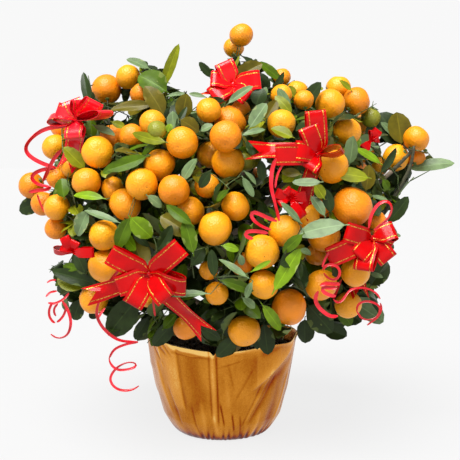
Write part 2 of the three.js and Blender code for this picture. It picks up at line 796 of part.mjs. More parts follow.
function addLeaf(grown, foot, direction, face, size) {
  const { mass } = grown;
  const corners = bladeCorners(foot, direction, face, size);
  const [, left, tip, right] = corners;
  const inside = [left, tip, right].every((point) => (
    inSpace(mass, point, LEAF.spaceClearance) && outsidePot(point, LEAF.potClearance)));
  if (!inside || !bladeClear(corners, mass.name)) return false;
  grown.parts.push(leafGeometry(corners, face));
  obstacles.push({ at: along(left, right, 0.5), radius: LEAF.elbowRoom, owner: mass.name, kind: 'leaf' });
  return true;
}

// Leaves along a twig, from a share of its length backwards, each a golden angle round from the last.
function addSpray(grown, twig, from, count, random) {
  const step = Math.min(SPRAY.longestStep, SPRAY.internode / twig.getLength());
  const goldenAngle = Math.PI * (3 - Math.sqrt(5));
  const skyward = UP.clone().addScaledVector(outwardOf(grown.mass), LEAF.tilt);
  let turn = 2 * Math.PI * random();
  for (let place = 0; place < count; place++) {
    const share = from - place * step;
    const heading = twig.getTangentAt(share);
    const first = new THREE.Vector3().crossVectors(heading, asideOf(heading)).normalize();
    const size = between(SPRAY.sizes, random());
    for (let attempt = 0; attempt < SPRAY.turns; attempt++) {
      turn += goldenAngle;
      const sideways = first.clone().applyAxisAngle(heading, turn);
      const lean = SPRAY.spread * (share === 1 ? SPRAY.endSpread : 1);
      const direction = heading.clone().addScaledVector(sideways, lean).normalize();
      const face = skyward.clone().projectOnPlane(direction).normalize();
      const fitted = attempt < SPRAY.turns / 2 ? size : size * SPRAY.smaller;
      if (addLeaf(grown, twig.getPointAt(share), direction, face, fitted)) break;
    }
  }
}

// ---------------------------------------------------------------- bows

function bowFrame(bow) {
  const [across, height, before] = bow.knot;
  const front = frontAt(across, height, 0);
  const at = vec(across, front - before, height);
  const sideways = across / CROWN.halfWidth;
  const upwards = (height - CROWN.middle) / CROWN.halfHeight;
  const facing = vec(sideways, front / CROWN.halfDepth - 1, upwards).multiply(BOW_TURN).normalize();
  const right = new THREE.Vector3().crossVectors(UP, facing).normalize();
  const up = new THREE.Vector3().crossVectors(facing, right);
  return { at, facing, right, up };
}

function bowArms(bow) {
  const arm = ([degrees, length], isTail) => ({ turn: THREE.MathUtils.degToRad(degrees), length, isTail });
  return [...bow.loops.map((row) => arm(row, false)), ...bow.tails.map((row) => arm(row, true))];
}

// Moves the bow forward until its arms clear the fruit, and marks the room that it takes.
function placeBow(name, bow) {
  const frame = bowFrame(bow);
  const spots = bowArms(bow).flatMap(({ turn, length }) => BOW_SPOTS.map((share) => frame.right.clone()
    .multiplyScalar(Math.cos(turn) * length * share)
    .addScaledVector(frame.up, Math.sin(turn) * length * share)));
  const blocked = () => allFruit.some((fruit) => spots.some((spot) => (
    fruit.at.distanceTo(spot.clone().add(frame.at)) < fruit.radius + RIBBON.clearance)));
  for (let step = 0; step < RIBBON.forwardSteps && blocked(); step++) frame.at.y -= RIBBON.forwardStep;
  const room = { radius: RIBBON.width / 2, owner: `bow_${name}`, kind: 'bow' };
  for (const spot of [...spots, vec(0, 0, 0)]) {
    obstacles.push({ ...room, nearKnot: spot.length() < RIBBON.knot, at: spot.add(frame.at) });
  }
  return frame;
}

function bowGeometry(bow, frame) {
  const knot = new THREE.BoxGeometry(RIBBON.knot, RIBBON.knot, RIBBON.knotDepth);
  const arms = bowArms(bow).map(({ turn, length, isTail }) => {
    const arm = isTail
      ? new THREE.BoxGeometry(length, RIBBON.tailWidth, RIBBON.tailThickness)
      : new THREE.OctahedronGeometry(1).scale(length / 2, RIBBON.width / 2, RIBBON.loopThickness);
    arm.translate(length / 2 + RIBBON.armsFrom, 0, 0);
    return arm.rotateZ(turn);
  });
  const geometry = fuse([knot, ...arms]);
  const placed = new THREE.Matrix4().makeBasis(frame.right, frame.up, frame.facing).setPosition(frame.at);
  return geometry.applyMatrix4(placed);
}

// ---------------------------------------------------------------- growing the whole crown

limbs.trunk = makeTrunk();
markLine(limbs.trunk.curve, limbs.trunk.radiusAt, 'limbs');
const unbuilt = new Set(masses);
while (unbuilt.size) {
  for (const mass of unbuilt) {
    if (!limbs[mass.from]) continue;
    limbs[mass.name] = makeBough(mass);
    markLine(limbs[mass.name].curve, limbs[mass.name].radiusAt, 'limbs');
    unbuilt.delete(mass);
  }
}

placeFruit();
const bowFrames = {};
for (const [name, bow] of Object.entries(BOWS)) bowFrames[name] = placeBow(name, bow);

function startMass(mass) {
  const { end } = limbs[mass.name];
  const stem = bentLine([end, mass.middle]);
  const radiusAt = (share) => lerp(STEM.radius, TWIG.radius, share);
  const tree = [];
  addForks(tree, stem, STEM.bareRoot, stem.getLength() - STEM.bareTip);
  markLine(stem, () => STEM.radius, mass.name);
  return { mass, tree, parts: [limbGeometry(stem, radiusAt, TWIG.sides, [0, 1])], leafyStalks: [] };
}

// A stalk comes to its fruit from inside the mass or, where that way is blocked, from another side.
function growStalk(grown, fruit) {
  const inward = grown.mass.middle.clone().sub(fruit.at)
    .addScaledVector(UP, FRUIT.stalkLift * fruit.radius)
    .normalize();
  const aside = new THREE.Vector3().crossVectors(inward, UP).normalize();
  for (const swerve of [vec(0, 0, 0), UP, aside, aside.clone().negate(), UP.clone().negate()]) {
    const towardsStalk = inward.clone().addScaledVector(swerve, FRUIT.swerve).normalize();
    const foot = fruit.at.clone().addScaledVector(towardsStalk, fruit.radius * (1 - FRUIT.stalkSunk));
    const twig = growTwig(grown, foot, towardsStalk.clone().negate(), { ...STALK, borne: fruit.at });
    if (twig) return { twig, towardsStalk };
  }
  return null;
}

function bearFruit(grown) {
  const fromMiddle = (fruit) => fruit.at.distanceTo(grown.mass.middle);
  const own = allFruit.filter((fruit) => fruit.mass === grown.mass);
  own.sort((a, b) => fromMiddle(a) - fromMiddle(b));
  for (const fruit of own) {
    const stalk = growStalk(grown, fruit);
    if (!stalk) continue;
    grown.parts.push(fruitGeometry(fruit, stalk.towardsStalk));
    if (stalk.twig.getLength() > FRUIT.leafyStalk) grown.leafyStalks.push(stalk.twig);
  }
}

// A bow's twig comes up behind its knot and ends just short of it.
function bearBow(grown) {
  for (const [name, bow] of Object.entries(BOWS)) {
    if (bow.mass !== grown.mass.name) continue;
    const { at, facing } = bowFrames[name];
    const back = at.clone().addScaledVector(facing, -(RIBBON.holderSunk + GAP));
    const own = obstacles.filter((obstacle) => obstacle.owner === `bow_${name}` && obstacle.nearKnot);
    for (const obstacle of own) obstacle.owner = grown.mass.name;
    growTwig(grown, back, facing, BOW_HOLDER);
    for (const obstacle of own) obstacle.owner = `bow_${name}`;
  }
}

function bearLeaves(grown) {
  const { mass } = grown;
  const random = seeded(7 + mass.index);
  for (const [footPlace, tipPlace, setBack] of mass.leaves) {
    const foot = vec(footPlace[0], frontAt(...footPlace, 0) + setBack, footPlace[1]);
    const tip = vec(tipPlace[0], frontAt(...tipPlace, 0) + setBack, tipPlace[1]);
    const direction = tip.clone().sub(foot).normalize();
    if (!growTwig(grown, foot, direction, LEAF_TWIG)) continue;
    const face = vec(0, -1, LEAF.frontTilt).projectOnPlane(direction).normalize();
    addLeaf(grown, foot, direction, face, foot.distanceTo(tip) / LEAF.length);
  }
  for (const twig of grown.leafyStalks) addSpray(grown, twig, FRUIT.leafAt, 1, random);
  const outward = outwardOf(mass);
  const sprays = [];
  for (let attempt = 0; attempt < SPRAY.tries && sprays.length < SPRAY.perMass; attempt++) {
    const direction = randomDirection(random).addScaledVector(outward, SPRAY.outwards).normalize();
    const at = mass.middle.clone().addScaledVector(direction, mass.radius * between(SPRAY.reach, random()));
    const spaced = sprays.every((other) => other.distanceTo(at) > SPRAY.spacing);
    const free = allFruit.every((fruit) => fruit.at.distanceTo(at) > fruit.radius + SPRAY.margin);
    if (!spaced || !free || !inSpace(mass, at, SPRAY.margin) || !outsidePot(at, SPRAY.margin)) continue;
    const twig = growTwig(grown, at, direction, SPRAY_TWIG);
    if (!twig) continue;
    sprays.push(at);
    addSpray(grown, twig, 1, SPRAY.leaves, random);
  }
}

const crown = masses.map(startMass);
crown.forEach(bearFruit);
crown.forEach(bearBow);
crown.forEach(bearLeaves);

// ---------------------------------------------------------------- the model

const MATERIALS = {
  foil: new THREE.MeshStandardMaterial({ color: 0xb87a2e, roughness: 0.35, metalness: 0.8 }),
  soil: new THREE.MeshStandardMaterial({ color: 0x3a2a1c, roughness: 0.95, metalness: 0 }),
  bark: new THREE.MeshStandardMaterial({ color: 0x5d4a35, roughness: 0.85, metalness: 0 }),
  foliage: new THREE.MeshStandardMaterial({ color: 0x4f6b2a, roughness: 0.5, metalness: 0 }),
  ribbon: new THREE.MeshStandardMaterial({ color: 0xd3100f, roughness: 0.35, metalness: 0 }),
};

const tree = new THREE.Group();

function addNode(name, geometry, material) {
  const mesh = new THREE.Mesh(geometry, material);
  mesh.name = name;
  tree.add(mesh);
}

addNode('pot', potGeometry(), MATERIALS.foil);
addNode('soil', soilGeometry(), MATERIALS.soil);
addNode('trunk', limbs.trunk.geometry, MATERIALS.bark);
for (const mass of masses) addNode(`bough_${mass.name}`, limbs[mass.name].geometry, MATERIALS.bark);
for (const grown of crown) {
  addNode(`foliage_${grown.mass.name}`, fuse(grown.parts), MATERIALS.foliage);
}
for (const [name, bow] of Object.entries(BOWS)) {
  addNode(`bow_${name}`, bowGeometry(bow, bowFrames[name]), MATERIALS.ribbon);
}

export default tree;
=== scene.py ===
"""A calamondin orange tree in a foil-wrapped pot, dressed with red satin bows and curled ribbon.

The frame holds the solids. Each mass of foliage is replaced here by the twigs, leaves and fruit that grow
from the same boughs by the same seeded rule, carried to finer twigs. The pot, soil, trunk, boughs and bows
are replaced by detailed meshes. Sizes and places are in millimetres, and MM turns them into metres.
"""

import math

import bpy
import numpy as np
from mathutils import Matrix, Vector, noise


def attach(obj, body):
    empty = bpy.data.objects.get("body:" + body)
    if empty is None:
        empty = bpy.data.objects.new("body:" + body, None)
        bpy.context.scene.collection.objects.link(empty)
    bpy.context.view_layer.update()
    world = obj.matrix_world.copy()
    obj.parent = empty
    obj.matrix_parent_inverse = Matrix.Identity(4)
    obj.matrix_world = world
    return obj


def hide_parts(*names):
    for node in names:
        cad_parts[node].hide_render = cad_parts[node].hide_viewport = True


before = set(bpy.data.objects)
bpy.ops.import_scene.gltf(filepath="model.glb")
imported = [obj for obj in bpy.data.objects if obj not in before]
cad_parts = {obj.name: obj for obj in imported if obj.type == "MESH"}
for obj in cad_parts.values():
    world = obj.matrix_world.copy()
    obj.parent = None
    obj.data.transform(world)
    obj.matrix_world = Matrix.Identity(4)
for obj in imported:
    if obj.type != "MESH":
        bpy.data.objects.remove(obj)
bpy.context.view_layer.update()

# ------------------------------------------------------------------ driving sizes

MM = 0.001
UP = np.array([0.0, 0.0, 1.0])
FRONT = np.array([0.0, -1.0, 0.0])
FULL_TURN = 2 * math.pi
GOLDEN_ANGLE = math.pi * (3 - math.sqrt(5))

# Where each seeded stream of chance starts.
SEEDS = dict(
    wild_fruit=101, leaves=7, key_leaves=901, inside=3001, gaps=4001, peel=501, folds=61, crumbs=77,
)

POT = dict(
    foot_radius=48.5, foot_curve=0.66, shoulder_radius=65.5, shoulder_height=21, rim_radius=83,
    rim_height=107, belly=2.2, wall=1.2, floor=3, collar_rise=15, collar_angle=math.pi, collar_sharpness=6,
    rim_wave=1.5, rim_waves=5, rim_band=8, pleat_depth=1.5,
)
SOIL_TOP = 96

TRUNK = dict(
    flare_radius=11, radius=7.5, fork_radius=5.6, fork_height=176, flare_share=0.22, straight=26, foot_sunk=6,
    lean=np.array([5.0, 4.0, 0.0]), sway=np.array([7.5, 1.6, 0.0]),
)
BOUGH = dict(
    main_radius=4.6, side_radius=3.2, tip_radius=2.2, taper=0.8, aim=0.2, root_bend=0.3, tip_bend=0.35,
)
STEM = dict(radius=2.2, longest=0.72, clearance=5, step=2, bare_root=6, bare_tip=1)
TWIG = dict(
    radius=1.8, fork_every=6, shortest=6, straight_up_to=42, bend_at=0.55, bend_onwards=0.08, bend_back=0.1,
    turn_cost=0.45, clearance=0.6, space_clearance=0.5, pot_clearance=3, sample_step=4, sightings=12,
)
TWIG_SIZES = [4.4, 2.0, 1.6, 1.3, 1.0]  # how thick a stem is, what forks from it, and so on

STALK = dict(keep_trying=30, keep_inside=False, bare_tip=6)
BOW_HOLDER = dict(keep_trying=20, keep_inside=False, bare_tip=14, straight_end=9)
LEAF_TWIG = dict(keep_trying=60, keep_inside=False, bare_tip=4, hide_nothing=True, sag_back=14)
SPRAY_TWIG = dict(keep_trying=8, keep_inside=True, bare_tip=5, hide_nothing=True)

LEAF = dict(
    lengths=(26, 44), slimness=(0.45, 0.60), clearance=0.9, elbow_room=3.8, tilt=0.8, wander=0.65,
    thickness=0.35, overreach=4, smaller=0.86, pot_clearance=1.5,
)
SPRAY = dict(
    per_area=0.0098, leaves=(4, 7), internode=6, longest_step=0.2, spread=1.3, end_spread=0.3, spacing=12,
    margin=3, reach=(0.3, 0.88), outwards=0.5, tries=600, turns=5, first=0.05,
)
STALK_SPRAY = dict(end=0.7, leaves=3)
INNER = dict(tries_per_area=0.12, lengths=(28, 44), forward=0.4, wander=0.9)
FRUIT = dict(
    flatness=0.94, clearance=0.5, least_solid=24, set_back_step=2, set_back_steps=40, stalk_sunk=0.2,
    stalk_lift=0.35, swerve=0.9, leafy_stalk=9,
)
WILD = dict(radii=(13, 16.5), reach=(0.74, 0.88), outwards=0.9, spacing=5, behind=-25, tries=60)
CROWN = dict(
    half_width=200, half_depth=185, half_height=150, middle=243, fruit_sunk=15,
    heart=np.array([0, 0, 215.0]), sighting_rounds=20,
)
BOW_TURN = np.array([0.5, 1, 0.35])
RIBBON = dict(
    width=19.5, small_width=9.5, knot=13, clearance=8, forward_step=2, forward_steps=16, holder_sunk=5.2,
)
BOW_SPOTS = (0.15, 0.5, 0.85)

CAMERA = dict(
    place=np.array([8.8, -1100, 345]), pitch=math.radians(6.3), lens=78.3, sensor=36, picture=460,
)
PICTURE_MIDDLE = CAMERA["picture"] / 2
FOCAL = CAMERA["lens"] / CAMERA["sensor"] * CAMERA["picture"]

# ------------------------------------------------------------------ the plan of the crown

# Each mass: the middle and radius of its ball, the limb that carries its bough, how far along that limb,
# how many fruit are left to chance, and its fruit as [across, height, diameter, set back].
MASSES = {
    "top": ((12, 5, 398), 52, "trunk", 1, 1, [(21, 436, 26, 0), (13, 424, 23, 5)]),
    "upper_left": ((-60, -15, 362), 64, "top", 0.42, 2, [(-102, 391, 27, 0), (-85, 372, 24, 12)]),
    "left_upper": ((-122, -15, 345), 60, "left_outer", 0.52, 3, [(-127, 378, 33, 0)]),
    "left_outer": ((-172, -15, 290), 62, "trunk", 0.5, 2, [
        (-183, 315, 29, 0), (-178, 338, 27, 15), (-210, 273, 29, 0), (-171, 285, 23, 15),
        (-190, 256, 26, 12)]),
    "left_low": ((-158, -25, 205), 62, "left_outer", 0.36, 3, [(-170, 234, 23, 10)]),
    "upper_right": ((72, 0, 352), 60, "top", 0.56, 1, [
        (65, 391, 20, 0), (80, 375, 23, 10), (61, 370, 22, 0)]),
    "right_upper": ((132, -10, 345), 58, "right", 0.5, 2, [
        (114, 361, 32, 0), (147, 365, 31, 0), (129, 380, 28, 15), (164, 347, 22, 5)]),
    "far_right": ((207, -5, 310), 54, "right", 0.72, 0, [
        (212.5, 324, 29, 0), (192, 303, 31, 0), (217, 301, 22, 8), (177, 292, 23, 70)]),
    "right": ((160, -15, 240), 60, "trunk", 0.68, 3, []),
    "right_low": ((140, -30, 172), 58, "right", 0.34, 2, [(132, 153, 29, 5)]),
    "front_left_top": ((-125, -85, 298), 54, "left_outer", 0.66, 0, [
        (-122, 313, 32, 0), (-132, 284, 29, 0), (-153, 298, 25, 15), (-110, 327, 26, 15)]),
    "front_mid_left": ((-72, -112, 292), 54, "front_centre", 0.58, 0, [
        (-60, 301, 32, 5), (-75, 284, 31, 0), (-93, 263, 32, 0), (-89, 328, 26, 12), (-107, 276, 26, 25)]),
    "front_top": ((-4, -90, 338), 60, "top", 0.3, 0, [
        (7, 304, 33, 0), (-37, 323, 31, 0), (-10, 310, 29, 0), (5, 329, 31, -10), (-12, 354, 25, 0),
        (9, 342, 34, 1), (17, 353, 27, 16), (-67, 341, 28, 5), (24, 304, 21, 15)]),
    "front_right_top": ((92, -92, 306), 58, "top", 0.24, 1, [
        (107, 300, 34, 0), (59, 341, 28, 0), (128, 333, 29, 5)]),
    "front_centre": ((-20, -128, 258), 58, "trunk", 0.42, 0, [
        (-44, 279, 30, 0), (-5, 244, 33, 0), (-29, 258, 28, 12), (14, 263, 28, 18), (-13, 282, 25, 25)]),
    "front_left": ((-115, -98, 214), 58, "front_centre", 0.48, 1, [
        (-166, 257, 27, 0), (-113, 234, 30, 0), (-113, 202, 35, 0), (-130, 163, 31, 0)]),
    "front_mid_right": ((44, -128, 212), 54, "front_centre", 0.45, 0, [
        (39, 221, 33, 0), (61, 239, 31, 0), (41, 188, 29, 0), (20, 207, 23, 15), (-12, 200, 19, 20)]),
    "front_right": ((112, -104, 232), 58, "right", 0.56, 0, [
        (128, 261, 40, 0), (134, 195, 32, 0), (101, 232, 33, 10), (84, 252, 25, 8), (102, 259, 23, 20),
        (98, 184, 32, 0)]),
    "front_low_left": ((-66, -100, 160), 56, "trunk", 0.23, 1, [(-35, 139, 26, 0), (-73, 172, 24, 15)]),
    "front_low_right": ((36, -104, 156), 58, "trunk", 0.3, 0, [
        (23, 135, 33, 0), (67, 162, 36, 0), (-4, 178, 23, 8)]),
    "back_top": ((-10, 85, 340), 72, "top", 0.66, 5, []),
    "back_upper_left": ((-112, 78, 292), 72, "back", 0.5, 4, []),
    "back_upper_right": ((108, 80, 298), 72, "back", 0.62, 5, []),
    "back_left": ((-112, 90, 190), 72, "back", 0.28, 4, []),
    "back": ((2, 118, 225), 84, "trunk", 0.8, 6, []),
    "back_right": ((118, 90, 195), 72, "back", 0.38, 4, []),
}
SPARSE = {"far_right": 0.35, "top": 0.6}  # masses with fewer leaves than the rest

# Small fruit that only show here, as [across, height, diameter, set back].
SMALL_FRUIT = [
    (85, 365, 21, 8), (-61, 335, 19, -14), (154, 243, 24, 10), (100, 330, 17, 40), (96, 210, 24, 34),
]
GREEN_FRUIT = [(-61, 335), (24, 304), (164, 347)]  # the across and height of those that are still green

# Places in the picture, each with its radius, where no fruit left to chance shows.
NO_FRUIT = [(358, 311, 14), (378, 277, 14), (405, 214, 16)]

# Each bow: the mass whose twig it is tied to, its knot as [across, height, before the front], its loops as
# [degrees from the right, length, roll] and its tails as [degrees, length, bend, how far they hang behind].
BOWS = {
    "upper_left": ("left_upper", (-143.5, 345, 36), [
        (112, 21, 20), (162, 24, -4), (183, 30, 62), (80, 20, 66), (36, 30, 56), (5, 42, 99),
        (-86, 23, 0)],
        [(-103, 54, -4, 8)]),
    "top": ("top", (12, 380, -24), [
        (114, 25, 8), (169, 24, 25), (214, 27, 10), (6, 29, 0), (-44, 23, 10)],
        [(216, 35, -8, 3)]),
    "right_upper": ("front_right_top", (92, 312, 12), [
        (96, 42, 0), (181, 44, 0), (114, 30, 0), (172, 25, 8), (12, 24, 74), (226, 20, 20)],
        [(170, 68, 6, 3), (-101, 64, -4, 16)]),
    "lower_left": ("front_low_left", (-66, 202, 14), [
        (150, 42, 0), (42, 44, 0), (-14, 38, 26), (199, 32, 0), (241, 33, -10), (-50, 30, 0)],
        [(-53, 80, 6, 3), (206, 66, -6, 3)]),
    "right": ("front_right", (146, 230, 14), [
        (198, 51, 6), (163, 32, 0), (24, 24, -42), (-28, 20, 30), (-54, 26, 10), (244, 34, 45),
        (219, 26, 22)],
        [(-88, 70, 6, 54), (-106, 70, -8, 54)]),
}
# The two bows at the top get paler, lit copies of the satin: painted light for the light they catch.
PAINTED_LIGHT_BOWS = {"upper_left": "glossy", "top": "bright"}  # the two that catch the light

# Little bows of narrower plain ribbon, half hidden in the leaves.
SMALL_BOWS = {
    "left": ("front_left", (-142, 219, -8), [
        (172, 18, -50), (112, 17, 10), (66, 13, 0), (4, 26, 0), (150, 12, 20)], []),
    "far_right": ("far_right", (156, 323, -12), [
        (54, 14, 0), (84, 11, 30), (222, 15, 0), (10, 9, 20)], []),
    "deep": ("front_mid_right", (66, 271, -26), [
        (158, 16, 0), (120, 11, 20), (60, 9, 0), (200, 14, 40), (10, 15, 0), (-60, 22, 20)], []),
}

# The outline of leaves and wood in the picture, in its pixels, and round gaps in it that show the sky, each
# with its radius. Leaves keep inside the one and off the others.
OUTLINE = [
    (226, 50), (238, 46), (246, 56), (262, 59), (278, 75), (290, 70), (297, 83), (310, 86), (326, 83),
    (338, 76), (352, 80), (366, 90), (374, 98), (377, 104), (383, 114), (388, 122), (392, 113),
    (402, 110), (410, 116), (411, 128), (426, 136), (428, 154), (440, 159), (455, 160), (455, 168),
    (426, 178), (414, 176), (405, 190), (398, 199), (411, 196), (411, 204), (394, 222), (396, 230),
    (402, 235), (395, 246), (390, 254), (390, 262), (389, 276), (380, 286), (374, 292), (381, 300),
    (386, 314), (384, 326), (376, 330), (362, 325), (352, 322), (350, 328), (346, 338), (336, 344),
    (327, 336), (316, 331), (311, 322), (307, 334), (300, 346), (295, 334), (284, 338), (270, 356),
    (258, 350), (240, 350), (232, 359), (216, 359), (212, 346), (196, 338), (178, 334), (161, 348),
    (150, 350), (146, 343), (134, 344), (134, 334), (140, 322), (124, 332), (108, 338), (103, 330),
    (103, 314), (97, 319), (88, 318), (82, 310), (70, 324), (64, 318), (60, 298), (55, 290), (54, 280),
    (48, 271), (50, 266), (62, 260), (74, 262), (72, 252), (62, 238), (52, 222), (44, 214), (15, 212),
    (14, 206), (24, 198), (44, 195), (52, 184), (52, 176), (56, 164), (52, 158), (60, 150), (50, 138),
    (52, 122), (62, 114), (72, 106), (88, 108), (80, 84), (80, 68), (87, 68), (94, 84), (116, 84),
    (117, 72), (126, 54), (138, 60), (150, 60), (163, 70), (167, 56), (179, 40), (181, 48), (172, 70),
    (171, 88), (188, 90), (192, 98), (188, 108), (198, 110), (208, 96), (213, 84), (196, 66), (198, 62),
    (214, 70),
]
SKY_GAPS = [
    (121, 117, 7), (196, 103, 9), (251, 103, 3), (104, 107, 3), (391, 181, 5), (400, 176, 5),
    (388, 214, 5), (150, 312, 3), (301, 270, 2), (157, 240, 2), (308, 50, 2), (318, 72, 4), (308, 300, 2),
    (252, 218, 2), (345, 185, 2),
]

# ------------------------------------------------------------------ small helpers


def unit(vector):
    return vector / np.linalg.norm(vector)


def between(pair, share):
    return pair[0] + (pair[1] - pair[0]) * share


def smooth(share):
    share = np.clip(share, 0, 1)
    return share * share * (3 - 2 * share)


def across_of(direction, vector):
    """The part of a vector that is square to a direction, as a unit vector."""
    return unit(vector - direction * np.dot(direction, vector))


STEEP = 0.9


def aside_of(direction):
    """An axis that does not run along a direction."""
    return UP if abs(direction[2]) < STEEP else np.array([1.0, 0.0, 0.0])


def turns_of(count):
    """Angles evenly spaced round a full turn."""
    return FULL_TURN * np.arange(count) / count


def bell(distance, width):
    """1 where a distance is 0, and falling away over a width to both sides."""
    return np.exp(-(distance / width) ** 2)


def seeded(seed):
    """The same stream of numbers from 0 to 1 for the same seed, as in the part's source."""
    state = seed
    span = 2 ** 32
    mask = span - 1

    def draw():
        nonlocal state
        state = (state + 0x6D2B79F5) & mask
        mixed = ((state ^ (state >> 15)) * (state | 1)) & mask
        mixed ^= (mixed + (((mixed ^ (mixed >> 7)) * (mixed | 61)) & mask)) & mask
        return (mixed ^ (mixed >> 14)) / span

    return draw


def random_direction(draw):
    height = 2 * draw() - 1
    turn = FULL_TURN * draw()
    reach = math.sqrt(1 - height * height)
    return np.array([reach * math.cos(turn), reach * math.sin(turn), height])


def each_unit(vectors):
    return vectors / np.linalg.norm(vectors, axis=1)[:, None]


def directions_along(points):
    """The way that a row of points runs, at each of them."""
    return each_unit(np.gradient(points, axis=0))


def turned(vector, axis, angle):
    """A vector turned round an axis."""
    cosine, sine = math.cos(angle), math.sin(angle)
    return vector * cosine + np.cross(axis, vector) * sine + axis * np.dot(axis, vector) * (1 - cosine)


def front_at(across, height, sunk):
    """How deep the crown's round front lies, or what is sunk behind it."""
    upwards = (height - CROWN["middle"]) / CROWN["half_height"]
    left = 1 - (across / CROWN["half_width"]) ** 2 - upwards ** 2
    return -(CROWN["half_depth"] - sunk) * math.sqrt(max(0, left))


def seen_at(column, row, depth):
    """The point as deep as given, its y, that the camera sees at a place in the picture."""
    across = (column - PICTURE_MIDDLE) / FOCAL
    upward = (PICTURE_MIDDLE - row) / FOCAL
    sine, cosine = math.sin(CAMERA["pitch"]), math.cos(CAMERA["pitch"])
    sight = np.array([across, cosine + upward * sine, upward * cosine - sine])
    return CAMERA["place"] + sight * (depth - CAMERA["place"][1]) / sight[1]


def seen_on_crown(column, row, set_back):
    """The point on the crown's front, or set back behind it, that the camera sees at a place."""
    depth = 0
    for _ in range(CROWN["sighting_rounds"]):
        at = seen_at(column, row, depth)
        depth = (depth + front_at(at[0], at[2], 0) + set_back) / 2
    return seen_at(column, row, depth)


def in_picture(points):
    """Where the camera sees points, as columns and rows of the picture."""
    runs = np.atleast_2d(points) - CAMERA["place"]
    sine, cosine = math.sin(CAMERA["pitch"]), math.cos(CAMERA["pitch"])
    forward = runs[:, 1] * cosine - runs[:, 2] * sine
    upward = runs[:, 1] * sine + runs[:, 2] * cosine
    columns = PICTURE_MIDDLE + FOCAL * runs[:, 0] / forward
    rows = PICTURE_MIDDLE - FOCAL * upward / forward
    return np.stack([columns, rows], axis=1)


OUTLINE_FROM = np.array(OUTLINE, float)
OUTLINE_RUN = np.roll(OUTLINE_FROM, -1, axis=0) - OUTLINE_FROM
GAPS = np.array(SKY_GAPS, float)


def in_outline(points):
    """True where the camera sees all points inside the outline and off its gaps."""
    places = in_picture(points)
    down = places[:, None, 1] - OUTLINE_FROM[None, :, 1]
    crosses = (down >= 0) != (down >= OUTLINE_RUN[:, 1])
    rise = np.where(OUTLINE_RUN[:, 1] == 0, 1, OUTLINE_RUN[:, 1])
    to_right = OUTLINE_FROM[:, 0] + down / rise * OUTLINE_RUN[:, 0] > places[:, None, 0]
    inside = (crosses & to_right).sum(axis=1) % 2 == 1
    gap = np.hypot(*(places[:, None] - GAPS[None, :, :2]).transpose(2, 0, 1))
    return bool(np.all(inside) and np.all(gap > GAPS[:, 2]))


GLANCE = 0.02  # the share of a path over which its direction is read
CORNER_CUT = 0.25


class Path:
    """A line through points, read by the share of its length."""

    def __init__(self, points):
        self.points = np.array(points, float)
        steps = np.linalg.norm(np.diff(self.points, axis=0), axis=1)
        self.marks = np.concatenate([[0], np.cumsum(steps)])
        self.length = self.marks[-1]

    def at(self, shares):
        marks = np.asarray(shares) * self.length
        return np.stack([np.interp(marks, self.marks, self.points[:, axis]) for axis in range(3)], axis=-1)

    def tangent(self, share):
        glance = min(GLANCE, 1 / max(self.length, 1))
        return unit(self.at(min(1, share + glance)) - self.at(max(0, share - glance)))

    def softened(self, rounds=2):
        """The same way with its corners cut round."""
        points = self.points
        for _ in range(rounds if len(points) > 2 else 0):
            first = points[:-1] * (1 - CORNER_CUT) + points[1:] * CORNER_CUT
            second = points[:-1] * CORNER_CUT + points[1:] * (1 - CORNER_CUT)
            inner = np.stack([first, second], axis=1).reshape(-1, 3)[1:-1]
            points = np.concatenate([points[:1], inner, points[-1:]])
        return Path(points)


def bezier(a, b, c, d, steps=60):
    t = np.linspace(0, 1, steps + 1)[:, None]
    return Path((1 - t) ** 3 * a + 3 * (1 - t) ** 2 * t * b + 3 * (1 - t) * t ** 2 * c + t ** 3 * d)


# ------------------------------------------------------------------ meshes


class Shape:
    """Gathers many small shapes that become one joined mesh. Points are in millimetres."""

    def __init__(self):
        self.points, self.corners, self.sizes, self.paints = [], [], [], []
        self.count = 0
        self.triangles = 0

    def add(self, points, *parts):
        """Adds points and parts of (faces, paint). Faces have three or four corners, and a paint is the
        number of a material, for all faces or for each."""
        for faces, paint in parts:
            faces = np.asarray(faces)
            self.corners.append((faces + self.count).ravel())
            self.sizes.append(np.full(len(faces), faces.shape[1]))
            self.paints.append(np.full(len(faces), paint) if np.isscalar(paint) else np.asarray(paint))
            self.triangles += len(faces) * (faces.shape[1] - 2)
        self.points.append(np.asarray(points, float))
        self.count += len(points)

    def build(self, name, materials, slot, replaced=(), crease=None):
        points = np.concatenate(self.points) * MM
        corners = np.concatenate(self.corners)
        sizes = np.concatenate(self.sizes)
        paints = np.concatenate(self.paints)
        mesh = bpy.data.meshes.new(name)
        mesh.vertices.add(len(points))
        mesh.vertices.foreach_set("co", points.ravel())
        mesh.loops.add(len(corners))
        mesh.loops.foreach_set("vertex_index", corners.astype(np.int32))
        mesh.polygons.add(len(sizes))
        mesh.polygons.foreach_set("loop_start", (np.cumsum(sizes) - sizes).astype(np.int32))
        mesh.polygons.foreach_set("material_index", paints.astype(np.int32))
        mesh.polygons.foreach_set("use_smooth", np.ones(len(sizes), bool))
        mesh.update(calc_edges=True)
        if crease:
            mesh.set_sharp_from_angle(angle=math.radians(crease))
        mesh.validate()
        for material in materials:
            mesh.materials.append(material)
        piece = bpy.data.objects.new(name, mesh)
        bpy.context.scene.collection.objects.link(piece)
        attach(piece, "root")
        if replaced:
            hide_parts(*replaced)
        return piece


def grid_faces(rows, columns):
    """The quads between rings of points, one ring after the other."""
    row, column = np.meshgrid(np.arange(rows), np.arange(columns), indexing="ij")
    here = row * columns + column
    beside = row * columns + (column + 1) % columns
    return np.stack([here, beside, beside + columns, here + columns], axis=-1).reshape(-1, 4)


def fan(middle, ring, turned_over=False):
    """Triangles from a middle point to each side of a closed ring of points."""
    beside = np.roll(ring, -1)
    sides = (beside, ring) if turned_over else (ring, beside)
    return np.stack([np.full(len(ring), middle), *sides], axis=1)


